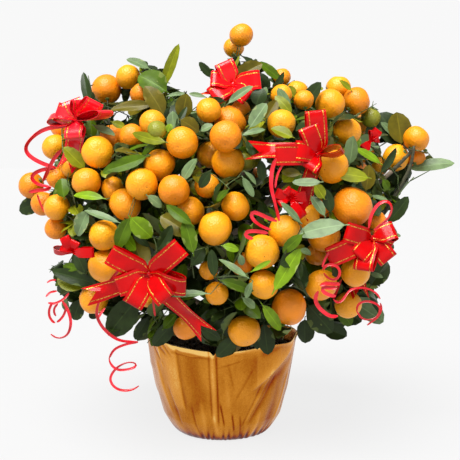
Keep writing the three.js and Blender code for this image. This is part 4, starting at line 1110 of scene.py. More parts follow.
# Leaves that stand out, read from the picture in its pixels: foot, tip, width, how far behind the crown's
# front they stand (in millimetres), and their tint.
KEY_LEAVES = [
    ((90, 107), (81, 68), 9, -20, "dark"), ((148, 68), (127, 56), 10, -30, "pale"),
    ((166, 91), (137, 70), 25, -50, "mid"), ((163, 87), (177.5, 42), 10.5, -20, "olive"),
    ((163, 114), (148, 82), 18, -4, "brown"), ((152, 105), (108, 106), 12, 2, "brown"),
    ((131, 90), (119, 91), 9, 10, "dark"), ((112, 122), (125, 128), 8, 6, "olive"),
    ((94, 126), (115, 137), 10, -4, "pale"), ((165, 142), (130, 137), 10, -4, "olive"),
    ((157, 142), (136, 154), 6, 4, "mid"), ((146, 157), (107, 172), 14, -5, "mid"),
    ((127, 162), (101, 170), 10, -8, "mid"), ((84, 168), (63, 146), 14, -4, "olive"),
    ((183, 180), (195, 157), 12, 8, "pale"), ((182, 118), (187, 93), 17, 0, "brown"),
    ((176, 127), (187, 105), 6, -6, "dark"), ((181, 120), (200, 130), 15, 0, "brown"),
    ((174, 130), (171, 111), 12, -2, "pale"), ((168, 96), (185, 92), 5, 6, "pale"),
    ((205, 97), (189, 92), 5, 6, "pale"), ((168, 132), (170, 123), 7, -4, "fresh"),
    ((236, 78), (262, 61), 17, -30, "brown"), ((281, 79), (257, 64), 10, -20, "mid"),
    ((213, 77), (197, 64), 8, -10, "dark"), ((229, 103), (252, 82), 9, -6, "pale"),
    ((256, 105), (262, 87), 16, 4, "dark"), ((264, 96), (267, 87), 7, 0, "pale"),
    ((269, 98), (288, 73), 7, -14, "dark"), ((294, 97), (286, 86), 12, 6, "olive"),
    ((290, 108), (277, 88), 9, 0, "pale"), ((291, 113), (276, 93), 10, 4, "olive"),
    ((266, 118), (277, 99), 12, 4, "brown"), ((300, 108), (324, 85), 14, 0, "dark"),
    ((250, 127), (268, 103), 15, -6, "pale"), ((243, 135), (266, 127), 7, -2, "pale"),
    ((231, 147), (232, 130), 6, 0, "olive"), ((232, 148), (243, 138), 10, 0, "dark"),
    ((253, 155), (250, 138), 10, 4, "dark"), ((292, 137), (271, 127), 13, 0, "olive"),
    ((224, 101), (210, 97), 6, 4, "dark"), ((201, 131), (213, 124), 9, 6, "pale"),
    ((351, 90), (340, 79), 6, -12, "olive"), ((365, 143), (377, 113), 7, 8, "dark"),
    ((401, 143), (398, 111), 22, 6, "brown"), ((404, 145), (384, 118), 10, 12, "pale"),
    ((350, 163), (356, 136), 14, 4, "pale"), ((380, 163), (357, 145), 8, 0, "fresh"),
    ((381, 172), (399, 149), 8, 0, "dark"), ((368, 178), (334, 171), 15, -6, "olive"),
    ((366, 190), (372, 165), 14, -2, "brown"), ((320, 182), (292, 183), 10, -14, "pale"),
    ((324, 198), (315, 184), 12, 0, "olive"), ((331, 212), (327, 187), 11, 2, "dark"),
    ((344, 225), (297, 227), 18, -12, "pale"), ((324, 215), (313, 193), 10, 2, "pale"),
    ((411, 169), (455, 157.5), 14, 10, "pale"), ((389, 222), (411, 198), 13, 0, "dark"),
    ((383, 180), (391, 190), 8, 6, "mid"), ((372, 196), (388, 198), 5, 4, "pale"),
    ((44, 201), (13, 208), 16, 0, "dark"), ((64, 197), (59, 177), 15, -2, "mid"),
    ((103, 198), (69, 191), 10, -2, "fresh"), ((118, 222), (82, 208), 8, -2, "pale"),
    ((88, 211), (75, 238), 17, -6, "pale"), ((55, 162), (63, 165), 5, 6, "pale"),
    ((129, 219), (115, 248), 15, -8, "mid"), ((131, 218), (153, 240), 18, -8, "fresh"),
    ((133, 233), (148, 250), 7, 4, "dark"), ((193, 252), (186, 219), 15, -8, "mid"),
    ((191, 224), (165, 203), 11, -10, "mid"), ((148, 196), (164, 206), 10, 8, "pale"),
    ((263, 181), (259, 160), 10, 20, "dark"), ((210, 172), (198, 188), 10, -4, "dark"),
    ((228, 190), (215, 201), 7, -4, "mid"), ((223, 246), (240, 248), 8, 2, "fresh"),
    ((214, 276), (211, 249), 10, -2, "dark"), ((246, 276), (218, 259), 8, -8, "pale"),
    ((240, 255), (243, 267), 7, -4, "pale"), ((206, 294), (166, 291), 8, -16, "pale"),
    ((222, 281), (256, 289), 11, -6, "mid"), ((192, 265), (207, 247), 12, 6, "dark"),
    ((158, 250), (174, 226), 12, -2, "dark"), ((243, 178), (253, 198), 8, -2, "pale"),
    ((245, 172), (258, 184), 6, 2, "pale"), ((300, 174), (281, 170), 9, 2, "brown"),
    ((300, 222), (280, 202), 8, -6, "pale"), ((302, 235), (280, 253), 11, -8, "mid"),
    ((275, 290), (300, 247), 15, -10, "fresh"), ((253, 271), (271, 260), 5, -12, "fresh"),
    ((300, 250), (313, 254), 8, 4, "pale"), ((309, 306), (333, 333), 24, -4, "dark"),
    ((337, 306), (354, 326), 15, -8, "mid"), ((353, 301), (385, 325), 26, 0, "pale"),
    ((371, 285), (388, 260), 19, 6, "dark"), ((371, 274), (383, 278), 7, -2, "pale"),
    ((393, 235), (401, 235), 4, 6, "pale"), ((385, 251), (394, 245), 8, 6, "dark"),
    ((324, 327), (346, 339), 16, 0, "dark"), ((305, 320), (304, 345), 18, 6, "dark"),
    ((84, 286), (56, 280), 17, -6, "olive"), ((97, 284), (50, 269), 14, 0, "dark"),
    ((78, 269), (61, 264), 8, 4, "mid"), ((85, 272), (75, 252), 12, -2, "dark"),
    ((81, 300), (71, 321), 15, 2, "dark"), ((66, 298), (63, 313), 7, 4, "pale"),
    ((90, 312), (96, 319), 8, 4, "dark"), ((137, 300), (103, 334), 27, 0, "dark"),
    ((148, 318), (135, 341), 12, 8, "dark"), ((86, 256), (87, 248), 7, 2, "dark"),
    ((252, 283), (243, 298), 7, -10, "pale"), ((243, 298), (256, 309), 9, -10, "pale"),
    ((263, 305), (285, 335), 12, -12, "fresh"), ((164, 328), (177, 314), 11, 2, "mid"),
    ((176, 320), (150, 347), 16, 4, "dark"), ((200, 327), (222, 338), 12, 6, "dark"),
    ((236, 338), (216, 357), 15, -14, "dark"), ((264, 325), (268, 356), 17, 0, "dark"),
]
KEY_LEAF = dict(companions=2, companion_end=0.6, rim=14, lean=0.2, fuller=1.28)

# Which way a key leaf of each tint faces. The pale ones turn up to the light; their colour is a painted
# sheen.
KEY_FACES = dict(
    dark=np.array([0, -1, 0.1]), mid=np.array([0, -1, 0.35]), olive=np.array([0, -1, 0.45]),
    brown=np.array([0, -1, 0.3]), fresh=np.array([0, -1, 0.5]), pale=np.array([0, -1, 0.8]),
)

# A blade's outline: shares of its length, and of its half width from the left rim over the top to the right
# one and back below.
BLADE_ROWS = np.array([0, 0.1, 0.2, 0.36, 0.56, 0.76, 0.92])
BLADE_RING = np.array([-1, -0.5, -0.05, 0.05, 0.5, 1, 0.5, 0, -0.5])
BLADE_TOP = np.array([0, 1, 1, 1, 1, 0, -1, -1, -1])
BLADE_PAINT = np.array([0, 0, 1, 0, 0, 2, 2, 2, 2])
BLADE_PAINTS = 3  # its top, its midrib and its underside
PETIOLE = dict(share=0.12, until=0.2, half_width=0.55, half_depth=0.45)
BLADE_ENDS = (0.58, 0.62)  # how full the blade is at its foot and at its tip; less is fuller
BLADE_WIDEST = BLADE_ENDS[0] / sum(BLADE_ENDS)
BLADE_PEAK = BLADE_WIDEST ** BLADE_ENDS[0] * (1 - BLADE_WIDEST) ** BLADE_ENDS[1]

# Where a blade is tested for room: shares of its length, and of its half width.
PROBES = (
    np.array([0.3, 0.5, 0.5, 0.72, 0.72, 0.88, 1, 0.3, 0.3, 0.55]),
    np.array([0, -0.95, 0.95, -0.95, 0.95, 0, 0, -1, 1, 0]),
)
MARKED_PROBES = [2, 3]
MARK_FORWARD = 0.15

# How each leaf differs from a flat, straight one. Each trait is drawn from its span, in this order. Fold,
# twist and phase are angles, droop and sweep are shares of its length, and wave is a share of its half width.
LEAF_TRAITS = dict(
    fold=(0.06, 0.42), droop=(-0.02, 0.28), twist=(-0.5, 0.5), wave=(0, 0.12), phase=(0, FULL_TURN),
    sweep=(-0.12, 0.12),
)
WAVES = dict(along=9, across=1.3)
SHORTENED_BY_DROOP = 0.25


def blade_half(shares):
    """The half width of a blade along its length, from 0 to 1."""
    blade = np.clip((shares - PETIOLE["share"]) / (1 - PETIOLE["share"]), 0, 1)
    return blade ** BLADE_ENDS[0] * (1 - blade) ** BLADE_ENDS[1] / BLADE_PEAK


class Leaf:
    """A blade on a short petiole, with a way that it points and a way that it faces."""

    def __init__(self, foot, direction, face, length, width, tint, draw):
        self.foot = foot
        self.direction = direction
        self.face = face
        self.across = np.cross(direction, face)
        self.length = length
        self.width = width
        self.tint = tint
        self.traits = {trait: between(span, draw()) for trait, span in LEAF_TRAITS.items()}

    def points(self, shares, ring, sides):
        """Points of the blade at shares of its length and half width, on its top (1) or underside (-1)."""
        fold, droop, twist, wave, phase, sweep = self.traits.values()
        narrowest = np.where(shares < PETIOLE["until"], PETIOLE["half_width"], 0)
        half = np.maximum(blade_half(shares) * self.width / 2, narrowest)
        out = ring * half * math.cos(fold)
        rise = np.abs(ring) * half * math.sin(fold)
        rise += wave * half * np.abs(ring) * np.sin(WAVES["along"] * shares + phase + WAVES["across"] * ring)
        cosine, sine = np.cos(twist * shares), np.sin(twist * shares)
        out, rise = out * cosine - rise * sine, out * sine + rise * cosine
        rise -= droop * self.length * shares ** 2
        out += sweep * self.length * shares ** 2
        depth = np.where(shares < PETIOLE["share"], PETIOLE["half_depth"], LEAF["thickness"] / 2)
        rise += sides * depth
        forth = self.length * shares * (1 - SHORTENED_BY_DROOP * abs(droop) * shares)
        return (self.foot + forth[:, None] * self.direction + out[:, None] * self.across
                + rise[:, None] * self.face)


leaves = []


def add_leaf(grown, leaf, insist=False, overreach=LEAF["overreach"], elbow_room=0):
    """Adds a leaf where it has room and hides nothing that shows."""
    probes = leaf.points(*PROBES, np.zeros(len(PROBES[0])))
    if not insist:
        if not in_space(grown.mass, probes, -overreach) or not outside_pot(probes, LEAF["pot_clearance"]):
            return False
        if not in_outline(probes):
            return False
        if showing.count_hidden(probes) or not room.blade_clear(probes, elbow_room):
            return False
    leaves.append(leaf)
    for probe in probes[MARKED_PROBES]:
        spot = (probe + leaf.foot) / 2 + leaf.direction * leaf.length * MARK_FORWARD
        room.mark(spot, LEAF["elbow_room"], grown.mass.index, LEAF_KIND)
    return True


def add_spray(grown, twig, end, count, tint, draw):
    """Leaves along a twig, from a share of its length backwards, each a golden angle round from the last."""
    path = twig.path
    step = min(SPRAY["longest_step"], SPRAY["internode"] / path.length)
    skyward = UP + grown.mass.outward * LEAF["tilt"]
    turn = FULL_TURN * draw()
    for place in range(count):
        share = max(SPRAY["first"], end - place * step)
        heading = path.tangent(share)
        first = unit(np.cross(heading, aside_of(heading)))
        length = between(LEAF["lengths"], draw())
        width = length * between(LEAF["slimness"], draw())
        for _ in range(SPRAY["turns"]):
            turn += GOLDEN_ANGLE
            sideways = turned(first, heading, turn)
            lean = SPRAY["spread"] * (SPRAY["end_spread"] if place == 0 else 1)
            direction = unit(heading + sideways * lean)
            face = across_of(direction, skyward + random_direction(draw) * LEAF["wander"])
            leaf = Leaf(path.at(share), direction, face, length, width, tint, draw)
            if add_leaf(grown, leaf):
                break
            length *= LEAF["smaller"]
            width *= LEAF["smaller"]


def pick_tint(draw, height):
    """The number of a tint, drawn by chance. The lower leaves are darker, as painted shade."""
    lowest, highest = PAINTED_SHADE_LOW_DOWN["heights"]
    climbed = smooth((height - lowest) / (highest - lowest))
    chance = draw() * between((PAINTED_SHADE_LOW_DOWN["darker"], 1), climbed)
    for tint, share in enumerate(TINT_SHARES):
        chance -= share
        if chance < 0:
            return tint
    return 0


def bear_key_leaves():
    """Grows a twig to the foot of each leaf that stands out, with a few more leaves further back on it."""
    companions = []
    for number, (foot_place, tip_place, width, set_back, tint) in enumerate(KEY_LEAVES):
        draw = seeded(SEEDS["key_leaves"] + number)
        middle = (np.array(foot_place) + np.array(tip_place)) / 2
        depth = seen_on_crown(*middle, set_back)[1]
        foot, tip = seen_at(*foot_place, depth), seen_at(*tip_place, depth)
        length = np.linalg.norm(tip - foot)
        lean = between((-KEY_LEAF["lean"], KEY_LEAF["lean"]), draw()) * length
        foot, tip = foot - FRONT * lean / 2, tip + FRONT * lean / 2
        direction = unit(tip - foot)
        foot = foot - direction * length * PETIOLE["share"]
        length = length * (1 + PETIOLE["share"])
        away = np.linalg.norm(foot - CAMERA["place"])
        width = width * KEY_LEAF["fuller"] * away / np.linalg.norm(CAMERA["place"])
        face = across_of(direction, KEY_FACES[tint])
        leaf = Leaf(foot, direction, face, length, width, TINTS.index(tint), draw)
        grown = crown[nearest_mass(foot).index]
        twig = grown.grow_twig(foot, direction, LEAF_TWIG, insist=True)
        add_leaf(grown, leaf, insist=True)
        for share in LEAF_SIGHTS:
            showing.add(foot + direction * length * share, width * SHOWING["leaf"], CAMERA["place"])
        reach = tip + (tip - foot) * KEY_LEAF["rim"] / max(length, 1)
        if twig and in_outline(reach):
            companions.append((grown, twig, draw))
    showing.settle()
    for grown, twig, draw in companions:
        tint = pick_tint(draw, twig.path.points[-1][2])
        add_spray(grown, twig, KEY_LEAF["companion_end"], KEY_LEAF["companions"], tint, draw)


def bear_leaves(grown):
    mass = grown.mass
    draw = seeded(SEEDS["leaves"] + mass.index)
    for twig in grown.leafy_stalks:
        tint = pick_tint(draw, mass.middle[2])
        add_spray(grown, twig, STALK_SPRAY["end"], STALK_SPRAY["leaves"], tint, draw)
    wanted = round(SPRAY["per_area"] * mass.radius ** 2 * SPARSE.get(mass.name, 1))
    sprays = []
    for _ in range(SPRAY["tries"]):
        if len(sprays) == wanted:
            break
        direction = unit(random_direction(draw) + mass.outward * SPRAY["outwards"])
        at = mass.middle + direction * mass.radius * between(SPRAY["reach"], draw())
        spaced = all(np.linalg.norm(other - at) > SPRAY["spacing"] for other in sprays)
        if not spaced or fruit_gap(at, SPRAY["margin"]) < 0:
            continue
        if not in_space(mass, at, SPRAY["margin"]) or not outside_pot(at, SPRAY["margin"]):
            continue
        if not in_outline(at):
            continue
        twig = grown.grow_twig(at, direction, SPRAY_TWIG)
        if twig is None:
            continue
        sprays.append(at)
        count = round(between(SPRAY["leaves"], draw()))
        add_spray(grown, twig, 1, count, pick_tint(draw, at[2]), draw)


def fill_inside(grown):
    """Large dark leaves straight from the twigs, which shut out the light from the inside of the crown. They
    all take the darkest tint, as painted shade for the inside.
    """
    mass = grown.mass
    draw = seeded(SEEDS["inside"] + mass.index)
    forks = list(grown.forks)
    for _ in range(round(INNER["tries_per_area"] * mass.radius ** 2)):
        place, heading, _ = forks[int(draw() * len(forks))]
        length = between(INNER["lengths"], draw())
        direction = unit(heading * INNER["forward"] + random_direction(draw))
        face = across_of(direction, UP + random_direction(draw) * INNER["wander"])
        width = length * between(LEAF["slimness"], draw())
        # Tint 0, the darkest, is painted shade for the inside of the crown.
        add_leaf(grown, Leaf(place, direction, face, length, width, 0, draw))


# Leaves that shut the gaps: the cell of the picture that counts as one gap, in pixels, and how far from it
# a leaf may start, with sizes in millimetres.
SHUT = dict(
    cell=4, rounds=3, near=40, behind=-130, lengths=(28, 50), longer=1.5, tries=60, wander=3, overreach=18,
    elbow_room=-2.5,
)
GAP_PROBES = tuple(grid.ravel() for grid in np.meshgrid(np.linspace(0.2, 1, 9), [-0.8, -0.4, 0, 0.4, 0.8]))


def find_gaps():
    """The cells of the picture, inside the outline, that no leaf or fruit covers yet."""
    cell = SHUT["cell"]
    count = CAMERA["picture"] // cell
    row, column = np.meshgrid(np.arange(count), np.arange(count), indexing="ij")
    middles = np.stack([column, row], axis=-1) * cell + cell / 2
    covered = np.zeros((count, count), bool)
    flat = np.zeros(len(GAP_PROBES[0]))
    spots = np.concatenate([leaf.points(*GAP_PROBES, flat) for leaf in leaves])
    across, down = (in_picture(spots) // cell).astype(int).T
    covered[down, across] = True
    for fruit in fruits:
        covered |= np.linalg.norm(middles - in_picture(fruit.at)[0], axis=2) < fruit.radius
    return [place for place in middles[~covered] if in_outline(seen_at(*place, 0))]


def shut_gaps():
    """Dark leaves from the wood deep inside, wherever one could see right through the crown. Their darkest
    tint is painted shade for the inside.
    """
    draw = seeded(SEEDS["gaps"])
    forks = [(grown, place) for grown in crown for place, _, _ in grown.forks if place[1] > SHUT["behind"]]
    seen = in_picture(np.array([place for _, place in forks]))
    for _ in range(SHUT["rounds"]):
        gaps = find_gaps()
        for gap in gaps:
            away = np.hypot(*(seen - gap).T)
            for number in np.argsort(away, kind="stable")[:SHUT["tries"]]:
                if away[number] > SHUT["near"]:
                    break
                grown, place = forks[number]
                run = seen_at(*gap, place[1]) - place
                direction = unit(run + random_direction(draw) * SHUT["wander"])
                length = np.clip(np.linalg.norm(run) * SHUT["longer"], *SHUT["lengths"])
                face = across_of(direction, FRONT + random_direction(draw) * INNER["wander"])
                # Tint 0, the darkest, is painted shade for the inside of the crown.
                leaf = Leaf(place, direction, face, length, length * LEAF["slimness"][1], 0, draw)
                if add_leaf(grown, leaf, overreach=SHUT["overreach"], elbow_room=SHUT["elbow_room"]):
                    break


bear_key_leaves()
for grown in crown:
    bear_leaves(grown)
for grown in crown:
    fill_inside(grown)
shut_gaps()

# ------------------------------------------------------------------ materials


def srgb(red, green, blue):
    """A colour as it is seen, from 0 to 255, turned into the linear one that light works with."""
    shares = [value / 255 for value in (red, green, blue)]
    return [s / 12.92 if s <= 0.04045 else ((s + 0.055) / 1.055) ** 2.4 for s in shares] + [1.0]


class Finish:
    """A material under construction, with a few lines for each thing it may show."""

    def __init__(self, name, colour, roughness, **sockets):
        self.material = bpy.data.materials.new(name)
        self.material.use_nodes = True
        self.nodes = self.material.node_tree.nodes
        self.links = self.material.node_tree.links
        self.shader = self.nodes["Principled BSDF"]
        self.shader.inputs["Base Color"].default_value = colour
        self.shader.inputs["Roughness"].default_value = roughness
        for socket, value in sockets.items():
            self.shader.inputs[socket.replace("_", " ")].default_value = value
        self.coordinates = self.nodes.new("ShaderNodeTexCoord").outputs["Object"]
        self.height = None

    def add(self, kind, **settings):
        """A node of a kind, with values for its sockets."""
        node = self.nodes.new(f"ShaderNode{kind}")
        for socket, value in settings.items():
            node.inputs[socket.replace("_", " ")].default_value = value
        return node

    def noise(self, size, detail=3, squeeze=1):
        """Noise whose features are some millimetres wide. A squeeze below 1 makes them taller than wide."""
        texture = self.add("TexNoise", Scale=1 / (size * MM), Detail=detail)
        source = self.coordinates
        if squeeze != 1:
            mapping = self.add("Mapping", Scale=(1, 1, squeeze))
            self.links.new(source, mapping.inputs["Vector"])
            source = mapping.outputs["Vector"]
        self.links.new(source, texture.inputs["Vector"])
        return texture.outputs["Fac"]

    def cells(self, size):
        """How far a point lies from the middle of its cell. The cells are some millimetres wide."""
        texture = self.add("TexVoronoi", Scale=1 / (size * MM))
        self.links.new(self.coordinates, texture.inputs["Vector"])
        return texture.outputs["Distance"]

    def sum_of(self, value, weight, base):
        """A value times a weight, on top of a base."""
        made = self.add("Math")
        made.operation = "MULTIPLY_ADD"
        made.inputs[1].default_value = weight
        self.links.new(value, made.inputs[0])
        self.links.new(base, made.inputs[2])
        return made.outputs["Value"]

    def colour(self, value, stops):
        """A colour that follows a value: the stops are the values, each with its colour."""
        made = self.add("ValToRGB")
        elements = made.color_ramp.elements
        while len(elements) < len(stops):
            elements.new(0.5)
        for element, (place, colour) in zip(elements, stops):
            element.position = place
            element.color = colour
        self.links.new(value, made.inputs["Fac"])
        self.links.new(made.outputs["Color"], self.shader.inputs["Base Color"])

    def roughness(self, value, low, high):
        spread = self.add("MapRange", To_Min=low, To_Max=high)
        self.links.new(value, spread.inputs["Value"])
        self.links.new(spread.outputs["Result"], self.shader.inputs["Roughness"])

    def bump(self, value, depth, strength=1.0):
        """Relief of some millimetres, on top of what is there."""
        made = self.add("Bump", Distance=depth * MM, Strength=strength)
        self.links.new(value, made.inputs["Height"])
        if self.height:
            self.links.new(self.height, made.inputs["Normal"])
        self.height = made.outputs["Normal"]
        self.links.new(self.height, self.shader.inputs["Normal"])


def scaled(colour, share):
    return [value * share for value in colour[:3]] + [1.0]


def from_to(dark, pale):
    """Stops that lead from one colour to another across the middle of a noise's range."""
    return [(0.3, dark), (0.7, pale)]


def shades(colour, darker, paler):
    """Stops from a darker to a paler shade of a colour."""
    return from_to(scaled(colour, darker), scaled(colour, paler))


def finished(name, colour, roughness, pattern=None, stops=(), bumps=(), **sockets):
    """A material whose colour follows a pattern of noise, with bumps of noise of some depth and strength."""
    made = Finish(name, colour, roughness, **sockets)
    if pattern:
        made.colour(made.noise(**pattern), stops)
    for depth, strength, noise_settings in bumps:
        made.bump(made.noise(**noise_settings), depth, strength)
    return made.material


def bumpy(depth, strength=1, **noise_settings):
    """A row of bumps for a finish: its depth in millimetres, its strength, and its noise."""
    return depth, strength, noise_settings


# The upper side and the underside of leaves of each tint. The pale tint is a painted sheen.
LEAF_COLOURS = dict(
    dark=(srgb(37, 52, 19), srgb(74, 88, 42)), mid=(srgb(68, 92, 6), srgb(96, 110, 42)),
    olive=(srgb(114, 120, 16), srgb(124, 122, 38)), brown=(srgb(86, 78, 8), srgb(104, 94, 32)),
    fresh=(srgb(106, 136, 18), srgb(138, 158, 72)), pale=(srgb(98, 118, 78), srgb(128, 140, 92)),
)
RIPE_PEELS = [srgb(234, 150, 6), srgb(232, 142, 4), srgb(236, 156, 10), srgb(226, 130, 3)]
GREEN_PEEL = srgb(128, 130, 30)


def leaf_materials():
    made = []
    for tint in TINTS:
        top, underside = LEAF_COLOURS[tint]
        made.append(finished(
            f"leaf_{tint}", top, roughness=0.36, pattern=dict(size=9),
            stops=shades(top, darker=0.74, paler=1.22),
            bumps=[bumpy(depth=0.12, strength=0.5, size=1.6, detail=2)], Specular_IOR_Level=0.18))
        made.append(finished(
            f"midrib_{tint}", scaled(top, 1.5), roughness=0.4,
            bumps=[bumpy(depth=0.08, strength=0.4, size=1.2, detail=2)], Specular_IOR_Level=0.2))
        made.append(finished(
            f"leaf_underside_{tint}", underside, roughness=0.6, pattern=dict(size=7),
            stops=shades(underside, darker=0.85, paler=1.15),
            bumps=[bumpy(depth=0.15, strength=0.6, size=1.4)], Specular_IOR_Level=0.2))
    return made


def peel_material(number, colour):
    """Peel with the pores of a citrus fruit."""
    peel = Finish(f"peel_{number}", colour, roughness=0.42, Specular_IOR_Level=0.42)
    peel.colour(peel.noise(size=14, detail=4), shades(colour, darker=0.92, paler=1.08))
    peel.bump(peel.cells(size=1.7), depth=0.5, strength=0.7)
    return peel.material


def fruit_materials():
    peels = [peel_material(number, colour) for number, colour in enumerate([*RIPE_PEELS, GREEN_PEEL])]
    scar = finished("navel", srgb(150, 84, 14), roughness=0.7, bumps=[bumpy(depth=0.2, size=0.6)])
    calyx = finished("calyx", srgb(92, 112, 44), roughness=0.6, bumps=[bumpy(depth=0.2, size=0.9)])
    return [*peels, scar, calyx]


def bark_material():
    grey = srgb(78, 68, 50)
    return finished(
        "bark", grey, roughness=0.85, pattern=dict(size=5, detail=6, squeeze=0.35),
        stops=[(0.3, srgb(46, 38, 27)), (0.52, grey), (0.72, srgb(112, 102, 78))],
        bumps=[bumpy(depth=0.9, strength=0.8, size=2.4, detail=6, squeeze=0.3)])


def twig_materials():
    brown = finished(
        "twig_brown", srgb(56, 54, 34), roughness=0.75, pattern=dict(size=4, detail=4),
        stops=from_to(srgb(38, 36, 22), srgb(72, 70, 42)),
        bumps=[bumpy(depth=0.25, strength=0.6, size=1.2, detail=4)])
    green = finished(
        "twig_green", srgb(62, 80, 34), roughness=0.55, pattern=dict(size=6, detail=2),
        stops=from_to(srgb(48, 64, 26), srgb(78, 94, 42)),
        bumps=[bumpy(depth=0.12, strength=0.5, size=1)])
    return [brown, green]


def foil_material():
    """Copper-gold foil, from a deep red painted shade in its creases to a pale painted gleam on its ridges,
    following the painted shade and highlight stored on the pot's points.
    """
    foil = Finish("foil", srgb(190, 124, 54), roughness=0.3, Metallic=1)
    # The pot's points carry the painted shade and highlight of the foil, from 0 to 1.
    painted_light = foil.add("Attribute")
    painted_light.attribute_name = "painted_light"
    streaks = foil.noise(size=4.5, detail=4, squeeze=0.22)
    streaked = foil.sum_of(streaks, FOIL["streaks"], painted_light.outputs["Fac"])
    # Streaks and specks of noise vary that painted light at random before the ramp turns it into colour.
    foil.colour(foil.sum_of(foil.noise(size=1.7), FOIL["specks"], streaked), [
        (0.1, srgb(96, 22, 8)), (0.3, srgb(150, 62, 12)), (0.5, srgb(178, 106, 26)),
        (0.66, srgb(203, 131, 42)), (0.85, srgb(223, 153, 64)), (1.0, srgb(246, 200, 114))])
    foil.roughness(foil.noise(size=9), low=0.2, high=0.32)
    foil.bump(foil.noise(size=3.2, squeeze=0.3), depth=0.5, strength=0.6)
    foil.bump(foil.noise(size=1.4), depth=0.3, strength=0.6)
    return foil.material


def soil_material():
    return finished(
        "soil", srgb(52, 38, 26), roughness=0.95, pattern=dict(size=3, detail=5),
        stops=[(0.35, srgb(34, 24, 16)), (0.6, srgb(64, 46, 30)), (0.8, srgb(92, 70, 46))],
        bumps=[bumpy(depth=1.2, strength=0.9, size=1.6, detail=6)])


def satin_material(name, red, gloss, coat=0):
    weave = bumpy(depth=0.03, strength=0.5, size=0.5, detail=2)
    dents = bumpy(depth=0.5, strength=0.35, size=9, detail=2)
    return finished(
        name, red, roughness=0.2, pattern=dict(size=14, detail=2), stops=shades(red, darker=0.88, paler=1.13),
        bumps=[weave, dents], Specular_IOR_Level=gloss, Coat_Weight=coat, Coat_Roughness=0.3)


def gold_material():
    """The glitter of the gold strips."""
    gold = Finish("gold_thread", srgb(212, 160, 62), roughness=0.32, Metallic=0.9)
    gold.colour(gold.cells(size=1.3), [
        (0.2, srgb(236, 190, 92)), (0.5, srgb(196, 132, 44)), (0.8, srgb(150, 40, 20))])
    gold.bump(gold.cells(size=0.8), depth=0.3, strength=0.8)
    return gold.material


def curl_material():
    return finished(
        "curl_red", srgb(206, 20, 32), roughness=0.28, pattern=dict(size=16, detail=2),
        stops=from_to(srgb(184, 6, 14), srgb(226, 40, 56)),
        bumps=[bumpy(depth=0.04, strength=0.4, size=0.8, detail=2)], Specular_IOR_Level=0.4)


def floor_material():
    """White, and lit from within, so that it looks as bright as the ground of the photo."""
    return finished(
        "floor", (0.06, 0.06, 0.06, 1), roughness=0.9,
        bumps=[bumpy(depth=0.05, strength=0.2, size=3, detail=2)],
        Specular_IOR_Level=0, Emission_Strength=0.82, Emission_Color=(1, 1, 1, 1))


# ------------------------------------------------------------------ the plant's meshes

MOST_TRIANGLES = 190000  # in one mesh of leaves
LEAF_TRIANGLES = 200  # more than one leaf has
LEAF_CREASE, FRUIT_CREASE, RIBBON_CREASE = 60, 70, 50  # degrees; sharper edges are not smoothed
FOLIAGE_NODES = [f"foliage_{mass.name}" for mass in masses]


def build_leaves():
    """Closed blades that taper to their tips, in as many meshes as they need."""
    materials = leaf_materials()
    columns, gaps = len(BLADE_RING), len(BLADE_ROWS) - 1
    shares = np.append(np.repeat(BLADE_ROWS, columns), 1.0)
    ring = np.append(np.tile(BLADE_RING, gaps + 1), 0.0)
    sides = np.append(np.tile(BLADE_TOP, gaps + 1), 0.0)
    column = np.arange(columns)
    quads, quad_paint = grid_faces(gaps, columns), np.tile(BLADE_PAINT, gaps)
    last = gaps * columns + column
    tip = np.stack([last, np.roll(last, -1), np.full(columns, len(shares) - 1)], axis=1)
    foot = np.stack([np.zeros(columns - 2, int), column[2:], column[1:-1]], axis=1)
    shapes = [Shape()]
    for leaf in leaves:
        if shapes[-1].triangles > MOST_TRIANGLES - LEAF_TRIANGLES:
            shapes.append(Shape())
        first = leaf.tint * BLADE_PAINTS
        painted_faces = (quads, quad_paint + first), (tip, BLADE_PAINT + first), (foot, first + 1)
        shapes[-1].add(leaf.points(shares, ring, sides), *painted_faces)
    for number, shape in enumerate(shapes, 1):
        shape.build(f"leaves_{number}", materials, "foliage", FOLIAGE_NODES, LEAF_CREASE)


def globe(thetas, columns):
    """Directions over a sphere from pole to pole, with its faces: the quads and a fan at each pole."""
    turns = turns_of(columns)
    rows = [np.stack([
        math.sin(theta) * np.cos(turns), math.sin(theta) * np.sin(turns), np.full(columns, math.cos(theta)),
    ], axis=1) for theta in thetas]
    directions = np.concatenate([[UP], *rows, [-UP]])
    quads = grid_faces(len(thetas) - 1, columns)[:, ::-1] + 1
    ring = np.arange(columns) + 1
    last_ring = ring + (len(thetas) - 1) * columns
    return directions, (quads, fan(0, ring), fan(len(directions) - 1, last_ring, turned_over=True))


def painted(faces, paint):
    """Parts of a shape that all have the same paint."""
    return [(part, paint) for part in faces]


def basis_for(axis):
    """Three directions square to each other, of which the last is the axis."""
    first = unit(np.cross(axis, aside_of(axis)))
    return np.stack([first, np.cross(axis, first), axis])


PEEL = dict(
    rows=14, columns=28, scar=0.035, near_scar=0.16, first_row=0.34, dimple=0.09, dimple_width=0.3,
    navel=0.08, navel_width=0.3, lumps=0.035, lump_size=0.62, lump_offset=3.7, wander=0.9,
)
CALYX = dict(radius=2.9, lobes=5, lobe=0.42, height=1.0, thetas=[0.9, 1.4, 1.75, 2.3], columns=20)


def calyx_star():
    """The points and faces of a small star with rounded lobes, flat to the axis z."""
    directions, faces = globe(CALYX["thetas"], CALYX["columns"])
    turns = np.arctan2(directions[:, 1], directions[:, 0])
    lobes = 1 - CALYX["lobe"] * (0.5 - 0.5 * np.cos(CALYX["lobes"] * turns))
    radii = lobes * CALYX["radius"]
    return directions * np.stack([radii, radii, np.full(len(radii), CALYX["height"])], axis=1), faces


